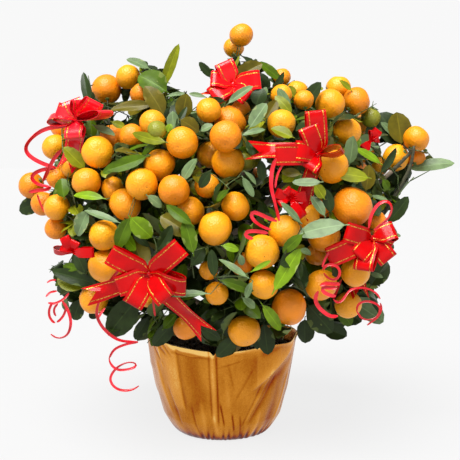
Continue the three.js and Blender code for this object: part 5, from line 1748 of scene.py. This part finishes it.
def build_fruit():
    """Peels whose navel lies anywhere away from the stalk, and a small star of a calyx at each stalk."""
    materials = fruit_materials()
    scar, calyx = len(materials) - 2, len(materials) - 1
    ends = [PEEL["scar"], PEEL["near_scar"]]
    belt = np.linspace(PEEL["first_row"], math.pi - PEEL["first_row"], PEEL["rows"])
    directions, faces = globe([*ends, *belt, *(math.pi - np.array(ends[::-1]))], PEEL["columns"])
    star, star_faces = calyx_star()
    shape = Shape()
    for number, fruit in enumerate(fruits):
        draw = seeded(SEEDS["peel"] + number)
        axis = unit(fruit.stalk + random_direction(draw) * PEEL["wander"])
        rays = directions @ basis_for(axis)
        from_stalk = np.arccos(np.clip(rays @ fruit.stalk, -1, 1))
        from_navel = np.arccos(np.clip(-rays @ axis, -1, 1))
        offset = Vector((number * PEEL["lump_offset"], 0, 0))
        lumps = np.array([noise.noise(Vector(ray) / PEEL["lump_size"] + offset) for ray in rays])
        reach = 1 + PEEL["lumps"] * lumps - PEEL["dimple"] * bell(from_stalk, PEEL["dimple_width"])
        reach -= PEEL["navel"] * bell(from_navel, PEEL["navel_width"])
        flattened = rays - np.outer(rays @ axis, axis) * (1 - FRUIT["flatness"])
        tint = len(RIPE_PEELS) if fruit.tint == "green" else int(draw() * len(RIPE_PEELS))
        shape.add(fruit.at + flattened * (fruit.radius * reach)[:, None], *zip(faces, (tint, tint, scar)))
        top = fruit.at + fruit.stalk * fruit.radius * (1 - PEEL["dimple"])
        shape.add(top + star @ basis_for(fruit.stalk), *painted(star_faces, calyx))
    shape.build("fruit", materials, "fruit", FOLIAGE_NODES, FRUIT_CREASE)


# The twigs' meshes: how thick they are at their root and tip, as a share of their size, the tip of a mass's
# own stem, and from which of TWIG_SIZES they are green.
TWIG_MESH = dict(sides=6, ring_every=7, root=1.15, tip=0.6, stem_tip=0.75, green_from=2)


def build_twigs():
    shape = Shape()
    for grown in crown:
        for twig in grown.twigs:
            radius = TWIG_SIZES[twig.level] / 2
            path = twig.path.softened()
            ends = (TWIG_MESH["root"], TWIG_MESH["tip" if twig.level else "stem_tip"])
            rings = max(2, math.ceil(path.length / TWIG_MESH["ring_every"]))
            paint = 0 if twig.level < TWIG_MESH["green_from"] else 1
            sides = TWIG_MESH["sides"]
            add_tube(shape, path, lambda share: radius * between(ends, share), sides, rings, paint)
    shape.build("twigs", twig_materials(), "bark", FOLIAGE_NODES)


BARK = dict(
    trunk_sides=40, bough_sides=16, trunk_ring_every=1.6, ring_every=2.4, relief=0.09, ridge=4.5, width=3,
    coarse=1.4, fine=3.1, fine_share=0.6, knobs=0.07, knob_size=0.5, knob_every=14, collar=0.4, collar_run=9,
    bough_radius=4, trunk_seed=1.5, seed_step=2.3,
)
ROOTS = dict(count=5, height=0.16, run=9, turn=0.8)


def bark_relief(seed, radius):
    """Ridges that run along a limb and wander round it."""
    def relief(turn, distance):
        around = Vector((math.cos(turn), math.sin(turn), 0)) * radius / BARK["width"]
        place = around + Vector((seed, 0, distance / BARK["ridge"] / BARK["width"]))
        knob_place = around * BARK["knob_size"] + Vector((0, seed, distance / BARK["knob_every"]))
        knobs = noise.noise(knob_place)
        ridges = noise.noise(place * BARK["coarse"]) + BARK["fine_share"] * noise.noise(place * BARK["fine"])
        return 1 + BARK["relief"] * ridges + BARK["knobs"] * knobs
    return relief


def build_trunk():
    trunk = limbs["trunk"]
    shape = Shape()

    def relief(turn, distance):
        roots = math.cos(ROOTS["count"] * turn + ROOTS["turn"])
        buttress = ROOTS["height"] * math.exp(-distance / ROOTS["run"]) * roots
        return bark_relief(BARK["trunk_seed"], TRUNK["radius"])(turn, distance) + buttress

    rings = math.ceil(trunk.path.length / BARK["trunk_ring_every"])
    add_tube(shape, trunk.path, trunk.radius_at, BARK["trunk_sides"], rings, 0, relief)
    shape.build("trunk_bark", [bark_material()], "bark", ["trunk"])


def build_boughs():
    """Each bough from the middle of the limb that carries it, with a collar where it leaves that limb. The
    leaves hide the boughs but for a few ends, so they have the plain bark that the frame brings."""
    shape = Shape()
    for mass in masses:
        limb = limbs[mass.name]
        socket = limbs[mass.carrier].path.at(mass.place)
        path = limb.path if mass.place == 1 else Path([socket, *limb.path.points])
        sunk = path.length - limb.path.length

        def radius_at(share):
            distance = share * path.length - sunk
            collar = BARK["collar"] * math.exp(-max(0, distance) / BARK["collar_run"])
            return limb.radius_at(min(1, max(0, distance / limb.path.length))) * (1 + collar)

        rings = math.ceil(path.length / BARK["ring_every"])
        relief = bark_relief(mass.index * BARK["seed_step"], BARK["bough_radius"])
        add_tube(shape, path, radius_at, BARK["bough_sides"], rings, 0, relief)
    plain_bark = bpy.data.materials["bark"]
    shape.build("boughs_bark", [plain_bark], "bark", [f"bough_{mass.name}" for mass in masses])


# ------------------------------------------------------------------ pot and soil

# Folds in the foil, each from one (angle, height) to another: how far it stands out, how much painted
# highlight (above 0) or painted shade (below 0) it gets, and its width to the left and to the right of that
# line, seen from its higher end down. The angle is measured from the front towards the right, in radians, and
# lengths are in millimetres.
FOLDS = [
    ((-1.50, 110), (-1.42, 76), 2.6, 0.04, 12, 12),
    ((-0.64, 101), (-0.60, 42), 1.5, 0.22, 1.0, 22),
    ((-0.62, 101), (-0.58, 42), -0.6, -0.16, 3.0, 0.8),
    ((-0.38, 96), (-0.36, 40), -0.5, -0.10, 13, 13),
    ((-0.165, 108), (-0.15, 34), -1.2, -0.24, 1.0, 1.0),
    ((-0.12, 108), (-0.105, 30), 1.3, 0.20, 2.0, 2.0),
    ((-0.072, 108), (-0.05, 28), -1.7, -0.36, 1.2, 0.9),
    ((-0.01, 42), (0.03, 26), -1.0, -0.50, 0.9, 0.9),
    ((0.17, 30), (0.20, 18), -1.0, -0.45, 1.1, 1.1),
    ((0.47, 94), (0.49, 68), 0.7, -0.14, 0.9, 8),
    ((1.28, 104), (0.50, 64), 1.9, 0.22, 1.2, 7),
    ((1.20, 90), (0.58, 58), -1.2, -0.18, 5, 5),
    ((0.74, 76), (0.43, 30), 1.0, 0.18, 1.0, 6),
    ((0.80, 70), (0.47, 26), -0.8, -0.16, 4, 1.0),
    ((0.56, 60), (0.36, 24), -0.8, -0.20, 1.0, 1.4),
    ((0.95, 72), (0.86, 20), -0.8, -0.14, 6, 6),
    ((1.17, 66), (1.05, 18), 1.2, 0.16, 5, 2),
    ((1.40, 100), (1.24, 30), -1.0, -0.14, 3, 5),
    ((0.04, 90), (0.21, 94), -0.5, -0.16, 0.9, 0.9),
    ((0.10, 87), (0.15, 70), -0.5, -0.12, 1.1, 1.1),
    ((0.40, 80), (0.24, 56), -0.6, -0.14, 1.0, 1.6),
    ((-0.66, 105), (-0.19, 102.5), 1.2, 0.5, 3.2, 2.6),
    ((-0.64, 99.5), (-0.22, 98.5), -0.7, -0.24, 1.4, 1.4),
    ((0.60, 100), (0.98, 108), -0.8, -0.26, 6, 4),
    ((0.06, 76), (0.10, 46), 0.6, 0.12, 2.5, 2.5),
    ((-1.30, 114), (-0.86, 97), -1.3, -0.34, 1.6, 1.6),
    ((-1.02, 116), (-0.76, 98), -1.0, -0.30, 1.2, 1.2),
    ((-1.20, 104), (-0.95, 88), -1.0, -0.26, 1.3, 1.3),
    ((-0.98, 101), (-0.93, 86), 1.0, 0.24, 1.4, 1.4),
    ((-1.05, 80), (-0.92, 34), 1.2, 0.16, 2, 7),
    ((-0.84, 56), (-0.74, 22), -1.0, -0.16, 1.0, 4),
    ((-0.30, 44), (-0.26, 16), 0.8, 0.14, 2, 3),
    ((-0.46, 36), (-0.42, 14), -0.8, -0.22, 1.0, 1.4),
    ((-0.12, 30), (-0.06, 8), 1.0, 0.20, 2, 3),
    ((0.30, 26), (0.34, 8), -0.9, -0.26, 1.0, 1.2),
    ((0.62, 30), (0.60, 8), 0.8, 0.18, 2, 3),
]

# The foil. Its tone is painted light, from 0, a painted shade in the creases, to 1, a painted highlight on
# the
# ridges: plain is the tone of smooth foil, which the painted shade and highlight of the folds darken or make
# paler. Angles are measured as for FOLDS.
FOIL = dict(
    columns=520, rows=104, first_rows=[0, 0.4, 1.2, 2.4], rows_from=4, scale=76, rises_by=6,
    # The crumples' bulges turn paler and their dents darker as painted shading, the lip gets a painted
    # highlight and the hem a painted shade.
    plain=0.4, streaks=0.12, specks=0.26, crumple_shading=0.15, tones=(-0.15, 1),
    fold_depth=0.65, fold_ends=5, folds_from=30, deepest=4,
    crumple=0.7, crumples_from=12, crumple_size=(9, 24), crumple_turns=40,
    hem_shade=0.6, hem_height=6, lip=1.5, lip_height=3.0, lip_highlight=0.36,
    peak_angle=1.30, peak_rise=10, peak_width=0.14, notch_angle=-0.1, notch_drop=4, notch_width=0.025,
)

# The crimps along the pot's foot, with what makes their spacing and depth uneven, and the painted shade in
# their creases.
CRIMP = dict(
    count=52, depth=0.9, height=11, shade=0.75, shaded_below=0.2, sway=3.1, sways=5, with_crumple=2.0,
    least=0.55, extra=0.45, waves=7, wave_sway=4, wave_sways=3,
)

# The inside of the pot: how far below the rim each ring lies and how much thicker than the wall the foil is
# there, and then the rings further down.
LINING = dict(
    rings=[(0, -0.48), (1.5, 0), (5, 0), (12, 1), (20, 2)], taper=0.16, heights=(60, 20), inset=4,
)

# Folds round the sides and the back, each drawn by chance from these spans. Folds that stand out get a
# painted highlight, and those sunk in a painted shade.
SIDE_FOLDS = dict(
    count=34, angles=(1.55, 4.75), tops=(70, 112), feet=(14, 50), sharp=1.2, broad=(4, 12),
    slants=(-0.3, 0.3), depths=(0.6, 1.5), shades=(0.05, 0.17),
)


def side_folds():
    draw = seeded(SEEDS["folds"])
    rows = []
    for number in range(SIDE_FOLDS["count"]):
        angle = between(SIDE_FOLDS["angles"], (number + draw()) / SIDE_FOLDS["count"])
        top = between(SIDE_FOLDS["tops"], draw())
        foot = between(SIDE_FOLDS["feet"], draw())
        sign = 1 if number % 2 else -1
        widths = (SIDE_FOLDS["sharp"], between(SIDE_FOLDS["broad"], draw()))
        left, right = widths if draw() < 0.5 else widths[::-1]
        foot_angle = angle + between(SIDE_FOLDS["slants"], draw())
        depth = sign * between(SIDE_FOLDS["depths"], draw())
        # Painted light that follows the relief: paler where the fold stands out, darker where it is sunk.
        paler = sign * between(SIDE_FOLDS["shades"], draw())
        rows.append(((angle, top), (foot_angle, foot), depth, paler, left, right))
    return rows


def from_middle(angles):
    """Angles brought to within half a turn of 0."""
    return (angles + math.pi) % FULL_TURN - math.pi


def fold_foil(angles, height, folds):
    """How far the folds push the foil out, and how much painted highlight or shade they give it, at angles
    from the front.
    """
    relief = np.zeros_like(angles)
    shade = np.zeros_like(angles)
    scale = FOIL["scale"]
    for (angle_from, height_from), (angle_to, height_to), depth, paler, left, right in folds:
        run = np.array([(angle_to - angle_from) * scale, height_to - height_from])
        across, upward = from_middle(angles - angle_from) * scale, height - height_from
        share = (across * run[0] + upward * run[1]) / (run @ run)
        beyond = np.maximum(0, np.maximum(-share, share - 1)) * np.linalg.norm(run)
        aside = (across * run[1] - upward * run[0]) / np.linalg.norm(run)
        width = np.where(aside > 0, right, left)
        there = np.exp(-(aside / width) ** 2 - (beyond / FOIL["fold_ends"]) ** 2)
        relief += depth * there
        shade += paler * there
    return relief, shade


def crimps(angles, rough):
    """The crimps that gather the foil at the pot's foot, from -1 in a crease to 1 on a ridge."""
    sway = CRIMP["sway"] * np.sin(CRIMP["sways"] * angles)
    waves = np.cos(CRIMP["count"] * angles + sway + CRIMP["with_crumple"] * rough)
    wave_sway = CRIMP["wave_sway"] * np.sin(CRIMP["wave_sways"] * angles)
    return waves * (CRIMP["least"] + CRIMP["extra"] * np.sin(CRIMP["waves"] * angles + wave_sway))


def crumples(around, height):
    """The foil's small dents and bulges at a height, from -1 to 1."""
    broad, tall = FOIL["crumple_size"]
    turns = FOIL["crumple_turns"]
    return np.array([
        noise.noise(Vector((x * turns, y * turns, height * broad / tall)) / broad) for x, y in around])


def foil_at(height, around, angles, folds):
    """How far the foil stands out at a height, and its tone of painted shade and highlight, at angles from
    the front.
    """
    rough = crumples(around, height)
    crimp = crimps(angles, rough)
    gather = bell(height, CRIMP["height"])
    lip = bell(height - POT["rim_height"], FOIL["lip_height"])
    relief, shade = fold_foil(angles, height, folds)
    out = FOIL["fold_depth"] * relief * min(1, height / FOIL["folds_from"])
    out = out + CRIMP["depth"] * gather * crimp + FOIL["lip"] * lip
    out += FOIL["crumple"] * rough * min(1, height / FOIL["crumples_from"])
    # Painted light: the folds' painted shade and highlight, a painted highlight on the lip, and paler bulges
    # and darker dents of the crumples.
    painted_light = FOIL["plain"] + shade + FOIL["lip_highlight"] * lip + FOIL["crumple_shading"] * rough
    # Painted shade in the creases of the crimps and along the hem at the foot.
    painted_light -= CRIMP["shade"] * gather * np.clip(CRIMP["shaded_below"] - crimp, 0, 1)
    painted_light = painted_light - FOIL["hem_shade"] * bell(height, FOIL["hem_height"])
    return np.clip(out, -FOIL["deepest"], FOIL["deepest"]), np.clip(painted_light, *FOIL["tones"])


def ring_at(around, radii, heights):
    """A ring of points: directions from the axis, times their radii, at their heights."""
    return np.column_stack([around * np.reshape(radii, (-1, 1)), np.broadcast_to(heights, len(around))])


def build_pot():
    columns = FOIL["columns"]
    turns = turns_of(columns) - math.pi / 2
    angles = from_middle(turns + math.pi / 2)
    heights = [*FOIL["first_rows"], *np.linspace(FOIL["rows_from"], POT["rim_height"], FOIL["rows"])]
    peak = FOIL["peak_rise"] * bell(angles - FOIL["peak_angle"], FOIL["peak_width"])
    notch = FOIL["notch_drop"] * bell(angles - FOIL["notch_angle"], FOIL["notch_width"])
    rise = rim_rise_at(turns) + peak - notch
    around = np.stack([np.cos(turns), np.sin(turns)], axis=1)
    folds = FOLDS + side_folds()
    rows, tones = [], []
    for height in heights:
        out, painted_light = foil_at(height, around, angles, folds)
        lifted = height + rise * (height / POT["rim_height"]) ** FOIL["rises_by"]
        rows.append(ring_at(around, pot_radius_at(height) + out, lifted))
        tones.append(painted_light)
    rim = rows[-1]
    for drop, thicker in LINING["rings"]:
        radii = np.hypot(rim[:, 0], rim[:, 1]) - (POT["wall"] + thicker) - drop * LINING["taper"]
        rows.append(ring_at(around, radii, rim[:, 2] - drop))
    for height in (*LINING["heights"], POT["floor"]):
        rows.append(ring_at(around, pot_radius_at(height) - LINING["inset"], height))
    shape = Shape()
    points = add_stack(shape, rows, [0, 0, 0], [0, 0, POT["floor"]])
    pot = shape.build("pot_foil", [foil_material()], "foil", ["pot"])
    shown = np.full(len(points), FOIL["plain"])
    shown[:len(heights) * columns] = np.concatenate(tones)
    # The foil's painted shade and highlight, for each point of its outside.
    pot.data.attributes.new("painted_light", "FLOAT", "POINT").data.foreach_set("value", shown)


SOIL = dict(
    inset=6.5, columns=90, rings=34, innermost=0.04, sunk=1, swells=(2.2, 9), grains=(1.1, 3), other_noise=5,
    sides=((0.93, 16), (0.97, 8)),
)
CRUMB = dict(
    count=240, reach=0.94, sizes=(0.8, 2.6), sunk=0.3, lumps=0.5, lump_size=2, columns=7,
    thetas=[0.7, 1.4, 2.1, 2.6],
)


def soil_lift(x, y):
    """How far the soil stands above its level at a place."""
    swell, swell_size = SOIL["swells"]
    grain, grain_size = SOIL["grains"]
    grains = noise.noise(Vector((x, y, SOIL["other_noise"])) / grain_size)
    return swell * noise.noise(Vector((x, y, 0)) / swell_size) + grain * grains


def build_soil():
    """The uneven top of the soil, a little of its side, and crumbs strewn on it."""
    radius = float(pot_radius_at(SOIL_TOP)) - SOIL["inset"]
    turns = turns_of(SOIL["columns"])
    rows = []
    for share in np.linspace(1, SOIL["innermost"], SOIL["rings"]):
        ring = np.stack([np.cos(turns) * radius * share, np.sin(turns) * radius * share], axis=1)
        lift = np.array([soil_lift(x, y) for x, y in ring])
        rows.append(np.column_stack([ring, SOIL_TOP - SOIL["sunk"] + lift]))
    edge = rows[0][:, :2]
    side = [ring_at(edge, share, SOIL_TOP - depth) for share, depth in SOIL["sides"]]
    deepest = SOIL["sides"][0][1]
    shape = Shape()
    add_stack(shape, side + rows, [0, 0, SOIL_TOP - deepest], [0, 0, SOIL_TOP])
    draw = seeded(SEEDS["crumbs"])
    directions, faces = globe(CRUMB["thetas"], CRUMB["columns"])
    for crumb in range(CRUMB["count"]):
        turn = FULL_TURN * draw()
        reach = radius * CRUMB["reach"] * math.sqrt(draw())
        size = between(CRUMB["sizes"], draw() ** 2)
        height = SOIL_TOP + size * CRUMB["sunk"]
        middle = np.array([reach * math.cos(turn), reach * math.sin(turn), height])
        offset = Vector((crumb, 0, 0))
        knobs = np.array([noise.noise(Vector(way) * CRUMB["lump_size"] + offset) for way in directions])
        lumps = 1 + CRUMB["lumps"] * knobs
        shape.add(middle + directions * lumps[:, None] * size, *painted(faces, 0))
    shape.build("soil_surface", [soil_material()], "soil", ["soil"])


# ------------------------------------------------------------------ bows and curled ribbon

# Where a ribbon's columns of points lie, as shares of its half width, and which of the strips between them
# are gold.
BAND = np.array([-1, -0.86, -0.75, -0.66, -0.34, 0, 0.34, 0.66, 0.75, 0.86, 1])
GOLD_STRIPS = [2, 7]
LOOP = dict(
    steps=34, depth=11, slim=0.4, pinch=0.34, pinched_until=11, gather=0.8, pleats=3, first_lean=12,
    lean_step=2.5, thickness=0.3, apart=0.02,
)
TAIL = dict(
    steps=26, notch=13, swing=3.2, width_share=0.92, twist=0.5, twist_by=1.5, behind_from=0.3, ripple=0.6,
    ripples=7,
)
KNOT = dict(size=np.array([3.6, 2.6, 3.0]), pleats=9, pleat_depth=0.05, first_row=0.3, rows=12, columns=26)


def add_band(shape, middles, sides, halves, columns, thickness, paint, lifts):
    """A closed thin band, lifted from flat by some millimetres at each step and column. The middles are an
    array of points for each step, or for each step and column."""
    steps, count = len(sides), len(columns)
    lines = middles if middles.ndim == 3 else np.repeat(middles[:, None], count, axis=1)
    spine = lines[:, count // 2]
    tangents = np.gradient(spine, axis=0)
    normals = each_unit(np.cross(sides, tangents))
    flat = lines + (halves[:, None] * columns)[..., None] * sides[:, None]
    flat = flat + lifts[..., None] * normals[:, None]
    above = flat + normals[:, None] * thickness / 2
    below = (flat - normals[:, None] * thickness / 2)[:, ::-1]
    points = np.concatenate([above, below], axis=1).reshape(-1, 3)
    around = 2 * count
    ring_paint = np.concatenate([paint, [0], paint[::-1], [0]])
    upper = np.arange(count - 1)
    lower = around - 1 - upper
    start = np.stack([upper, lower, lower - 1, upper + 1], axis=1)
    end = start[:, ::-1] + (steps - 1) * around
    shape.add(points, (grid_faces(steps - 1, around), np.tile(ring_paint, steps - 1)), (start, 0), (end, 0))


def band_paint(bow):
    """The large bows have two gold strips, and the small ones are plain."""
    paint = np.zeros(len(BAND) - 1, int)
    if bow.name in BOWS:
        paint[GOLD_STRIPS] = 1
    return paint


def gathered(reach):
    """How open a ribbon lies at distances from its knot, and how far the gathers at the knot lift it."""
    open_share = smooth(reach / LOOP["pinched_until"])
    gathers = LOOP["gather"] * (1 - open_share)[:, None] * np.cos(LOOP["pleats"] * math.pi * BAND)
    return between((LOOP["pinch"], 1), open_share), gathers


def add_loop(shape, bow, degrees, length, roll, order):
    """A teardrop of ribbon whose broad face shows: out in front, round its end, and back behind."""
    lean = math.radians(LOOP["first_lean"] + LOOP["lean_step"] * order)
    outward = bow.arm(degrees) * math.cos(lean) + bow.facing * math.sin(lean)
    across = np.cross(bow.facing, bow.arm(degrees))
    depthward = np.cross(outward, across)
    turn = math.radians(roll)
    width_way = across * math.cos(turn) + depthward * math.sin(turn)
    depth_way = depthward * math.cos(turn) - across * math.sin(turn)
    t = np.linspace(LOOP["apart"], FULL_TURN - LOOP["apart"], LOOP["steps"])
    reach = length * (1 - np.cos(t)) / 2
    depth = -min(LOOP["depth"], LOOP["slim"] * length) / 2 * np.sin(t) * np.sin(t / 2)
    middles = bow.at + reach[:, None] * outward + depth[:, None] * depth_way
    openness, gathers = gathered(reach)
    halves = bow.width / 2 * openness
    sides = np.repeat(width_way[None], len(t), axis=0)
    add_band(shape, middles, sides, halves, BAND, LOOP["thickness"], band_paint(bow), gathers)


def add_tail(shape, bow, degrees, length, bend, behind, order):
    """A loose end with a notch cut in it, which twists as it runs out."""
    arm = bow.arm(degrees)
    across = np.cross(bow.facing, arm)
    share = np.linspace(0, 1, TAIL["steps"])
    forward = TAIL["swing"] * np.sin(FULL_TURN * share + order) - behind * smooth(share / TAIL["behind_from"])
    sideward = math.tan(math.radians(bend)) * length * share ** 2
    notch = TAIL["notch"] * share[:, None] ** 2 * (1 - np.abs(BAND))
    reach = (length * share)[:, None] - notch
    middles = (bow.at + reach[..., None] * arm + (forward[:, None, None] * bow.facing)
               + sideward[:, None, None] * across)
    openness, gathers = gathered(length * share)
    halves = bow.width * TAIL["width_share"] / 2 * openness
    ripple = TAIL["ripple"] * np.sin(TAIL["ripples"] * share + order)[:, None] * BAND
    twist = math.copysign(TAIL["twist"], bend) * np.sin(math.pi * share ** TAIL["twist_by"] + order)
    sides = np.outer(np.cos(twist), across) + np.outer(np.sin(twist), bow.facing)
    add_band(shape, middles, sides, halves, BAND, LOOP["thickness"], band_paint(bow), gathers + ripple)


def add_knot(shape, bow):
    """A small pleated ball where the loops and tails meet."""
    rows = np.linspace(KNOT["first_row"], math.pi - KNOT["first_row"], KNOT["rows"])
    directions, faces = globe(rows, KNOT["columns"])
    turns = np.arctan2(directions[:, 1], directions[:, 0])
    belly = np.sin(np.arccos(np.clip(directions[:, 2], -1, 1)))
    pleats = 1 + KNOT["pleat_depth"] * np.cos(KNOT["pleats"] * turns) * belly
    size = KNOT["size"] * bow.width / RIBBON["width"]
    points = directions * pleats[:, None] * size
    shape.add(bow.at + points @ np.stack([bow.up, bow.facing, bow.right]), *painted(faces, 0))


def build_bow(bow, materials, replaced):
    shape = Shape()
    for order, (degrees, length, roll) in enumerate(bow.loops):
        add_loop(shape, bow, degrees, length, roll, order)
    for order, (degrees, length, bend, behind) in enumerate(bow.tails):
        add_tail(shape, bow, degrees, length, bend, behind, order)
    add_knot(shape, bow)
    shape.build(f"ribbon_bow_{bow.name}", materials, "ribbon", replaced, RIBBON_CREASE)


def add_curl(shape, curl):
    """A cupped ribbon that tilts to and fro as it runs, and narrows at both ends."""
    path = curl.path
    steps = max(CURL["least_steps"], math.ceil(path.length / CURL["spacing"]))
    shares = np.linspace(0, 1, steps)
    middles = path.at(shares)
    tangents = directions_along(middles)
    in_view = each_unit(np.cross(tangents, FRONT))
    forward = np.cross(in_view, tangents)
    tilt = CURL["tilt"] + CURL["tilt_swing"] * np.sin(shares * path.length / CURL["swing_length"] * math.pi)
    sides = in_view * np.sin(tilt)[:, None] + forward * np.cos(tilt)[:, None]
    to_end = np.minimum(shares, 1 - shares)
    halves = curl.width / 2 * np.minimum(1, CURL["end_width"] + CURL["widening"] * to_end)
    cup = CURL["cup"] * (CURL_COLUMNS ** 2)[None] * np.ones((steps, 1))
    paint = np.zeros(len(CURL_COLUMNS) - 1, int)
    add_band(shape, middles, sides, halves, CURL_COLUMNS, CURL["thickness"], paint, cup)


def build_curls(materials):
    shape = Shape()
    for curl in curls:
        add_curl(shape, curl)
    shape.build("curled_ribbons", materials, "ribbon", crease=RIBBON_CREASE)


# ------------------------------------------------------------------ stage, light and camera


# The heights (as sines of the elevation) between which the walls give way to the ceiling, then how bright the
# walls and the ceiling are.
WORLD = {"From Min": 0.12, "From Max": 0.34, "To Min": 0.94, "To Max": 0.3}
FLOOR = dict(size=12, below=0.0005)  # in metres
KEY_LIGHT = dict(source=(-0.22, -0.5, 1), strength=6.6, softness=math.radians(44))
FILL_LIGHT = dict(source=(0.35, -1, 0.35), strength=0.3, softness=math.radians(70))


def make_floor():
    bpy.ops.mesh.primitive_plane_add(size=FLOOR["size"], location=(0, 0, -FLOOR["below"]))
    floor = bpy.context.object
    floor.name = "floor"
    floor.data.materials.append(floor_material())


def make_sun(name, source, strength, softness):
    """A broad, far light that shines from a direction."""
    light = bpy.data.lights.new(name, "SUN")
    light.energy = strength
    light.angle = softness
    lamp = bpy.data.objects.new(name, light)
    lamp.rotation_euler = Vector(source).to_track_quat("Z", "Y").to_euler()
    bpy.context.scene.collection.objects.link(lamp)


def make_world():
    """White walls round a dimmer ceiling, so the light comes from the lamps and off the floor."""
    world = bpy.data.worlds.new("studio")
    world.use_nodes = True
    nodes, links = world.node_tree.nodes, world.node_tree.links
    direction = nodes.new("ShaderNodeTexCoord").outputs["Generated"]
    parts = nodes.new("ShaderNodeSeparateXYZ")
    links.new(direction, parts.inputs["Vector"])
    spread = nodes.new("ShaderNodeMapRange")
    spread.interpolation_type = "SMOOTHSTEP"
    for socket, value in WORLD.items():
        spread.inputs[socket].default_value = value
    links.new(parts.outputs["Z"], spread.inputs["Value"])
    links.new(spread.outputs["Result"], nodes["Background"].inputs["Strength"])
    nodes["Background"].inputs["Color"].default_value = (1, 1, 1, 1)
    bpy.context.scene.world = world


def make_camera():
    camera = bpy.data.cameras.new("camera")
    camera.lens = CAMERA["lens"]
    camera.sensor_width = CAMERA["sensor"]
    holder = bpy.data.objects.new("camera", camera)
    holder.location = [value * MM for value in CAMERA["place"]]
    holder.rotation_euler = (math.pi / 2 - CAMERA["pitch"], 0, 0)
    bpy.context.scene.collection.objects.link(holder)
    bpy.context.scene.camera = holder


build_pot()
build_soil()
build_trunk()
build_boughs()
build_twigs()
build_fruit()
build_leaves()
# The bright and glossy satins are lit copies of the deep one, painted light; the glossy one also has a coat.
satins = dict(
    deep=satin_material("satin_red", srgb(178, 1, 4), gloss=0.18),
    bright=satin_material("satin_painted_lit_red", srgb(226, 6, 18), gloss=0.3),
    glossy=satin_material("satin_glossy_painted_lit_red", srgb(228, 14, 34), gloss=0.5, coat=0.22),
)
gold_thread = gold_material()
for bow in bows:
    satin = satins[PAINTED_LIGHT_BOWS.get(bow.name, "deep")]
    build_bow(bow, [satin, gold_thread], [f"bow_{bow.name}"] if bow.name in BOWS else ())
build_curls([curl_material()])

make_floor()
make_world()
make_sun("key", **KEY_LIGHT)
make_sun("fill", **FILL_LIGHT)
make_camera()
bpy.context.scene.view_settings.view_transform = "Standard"
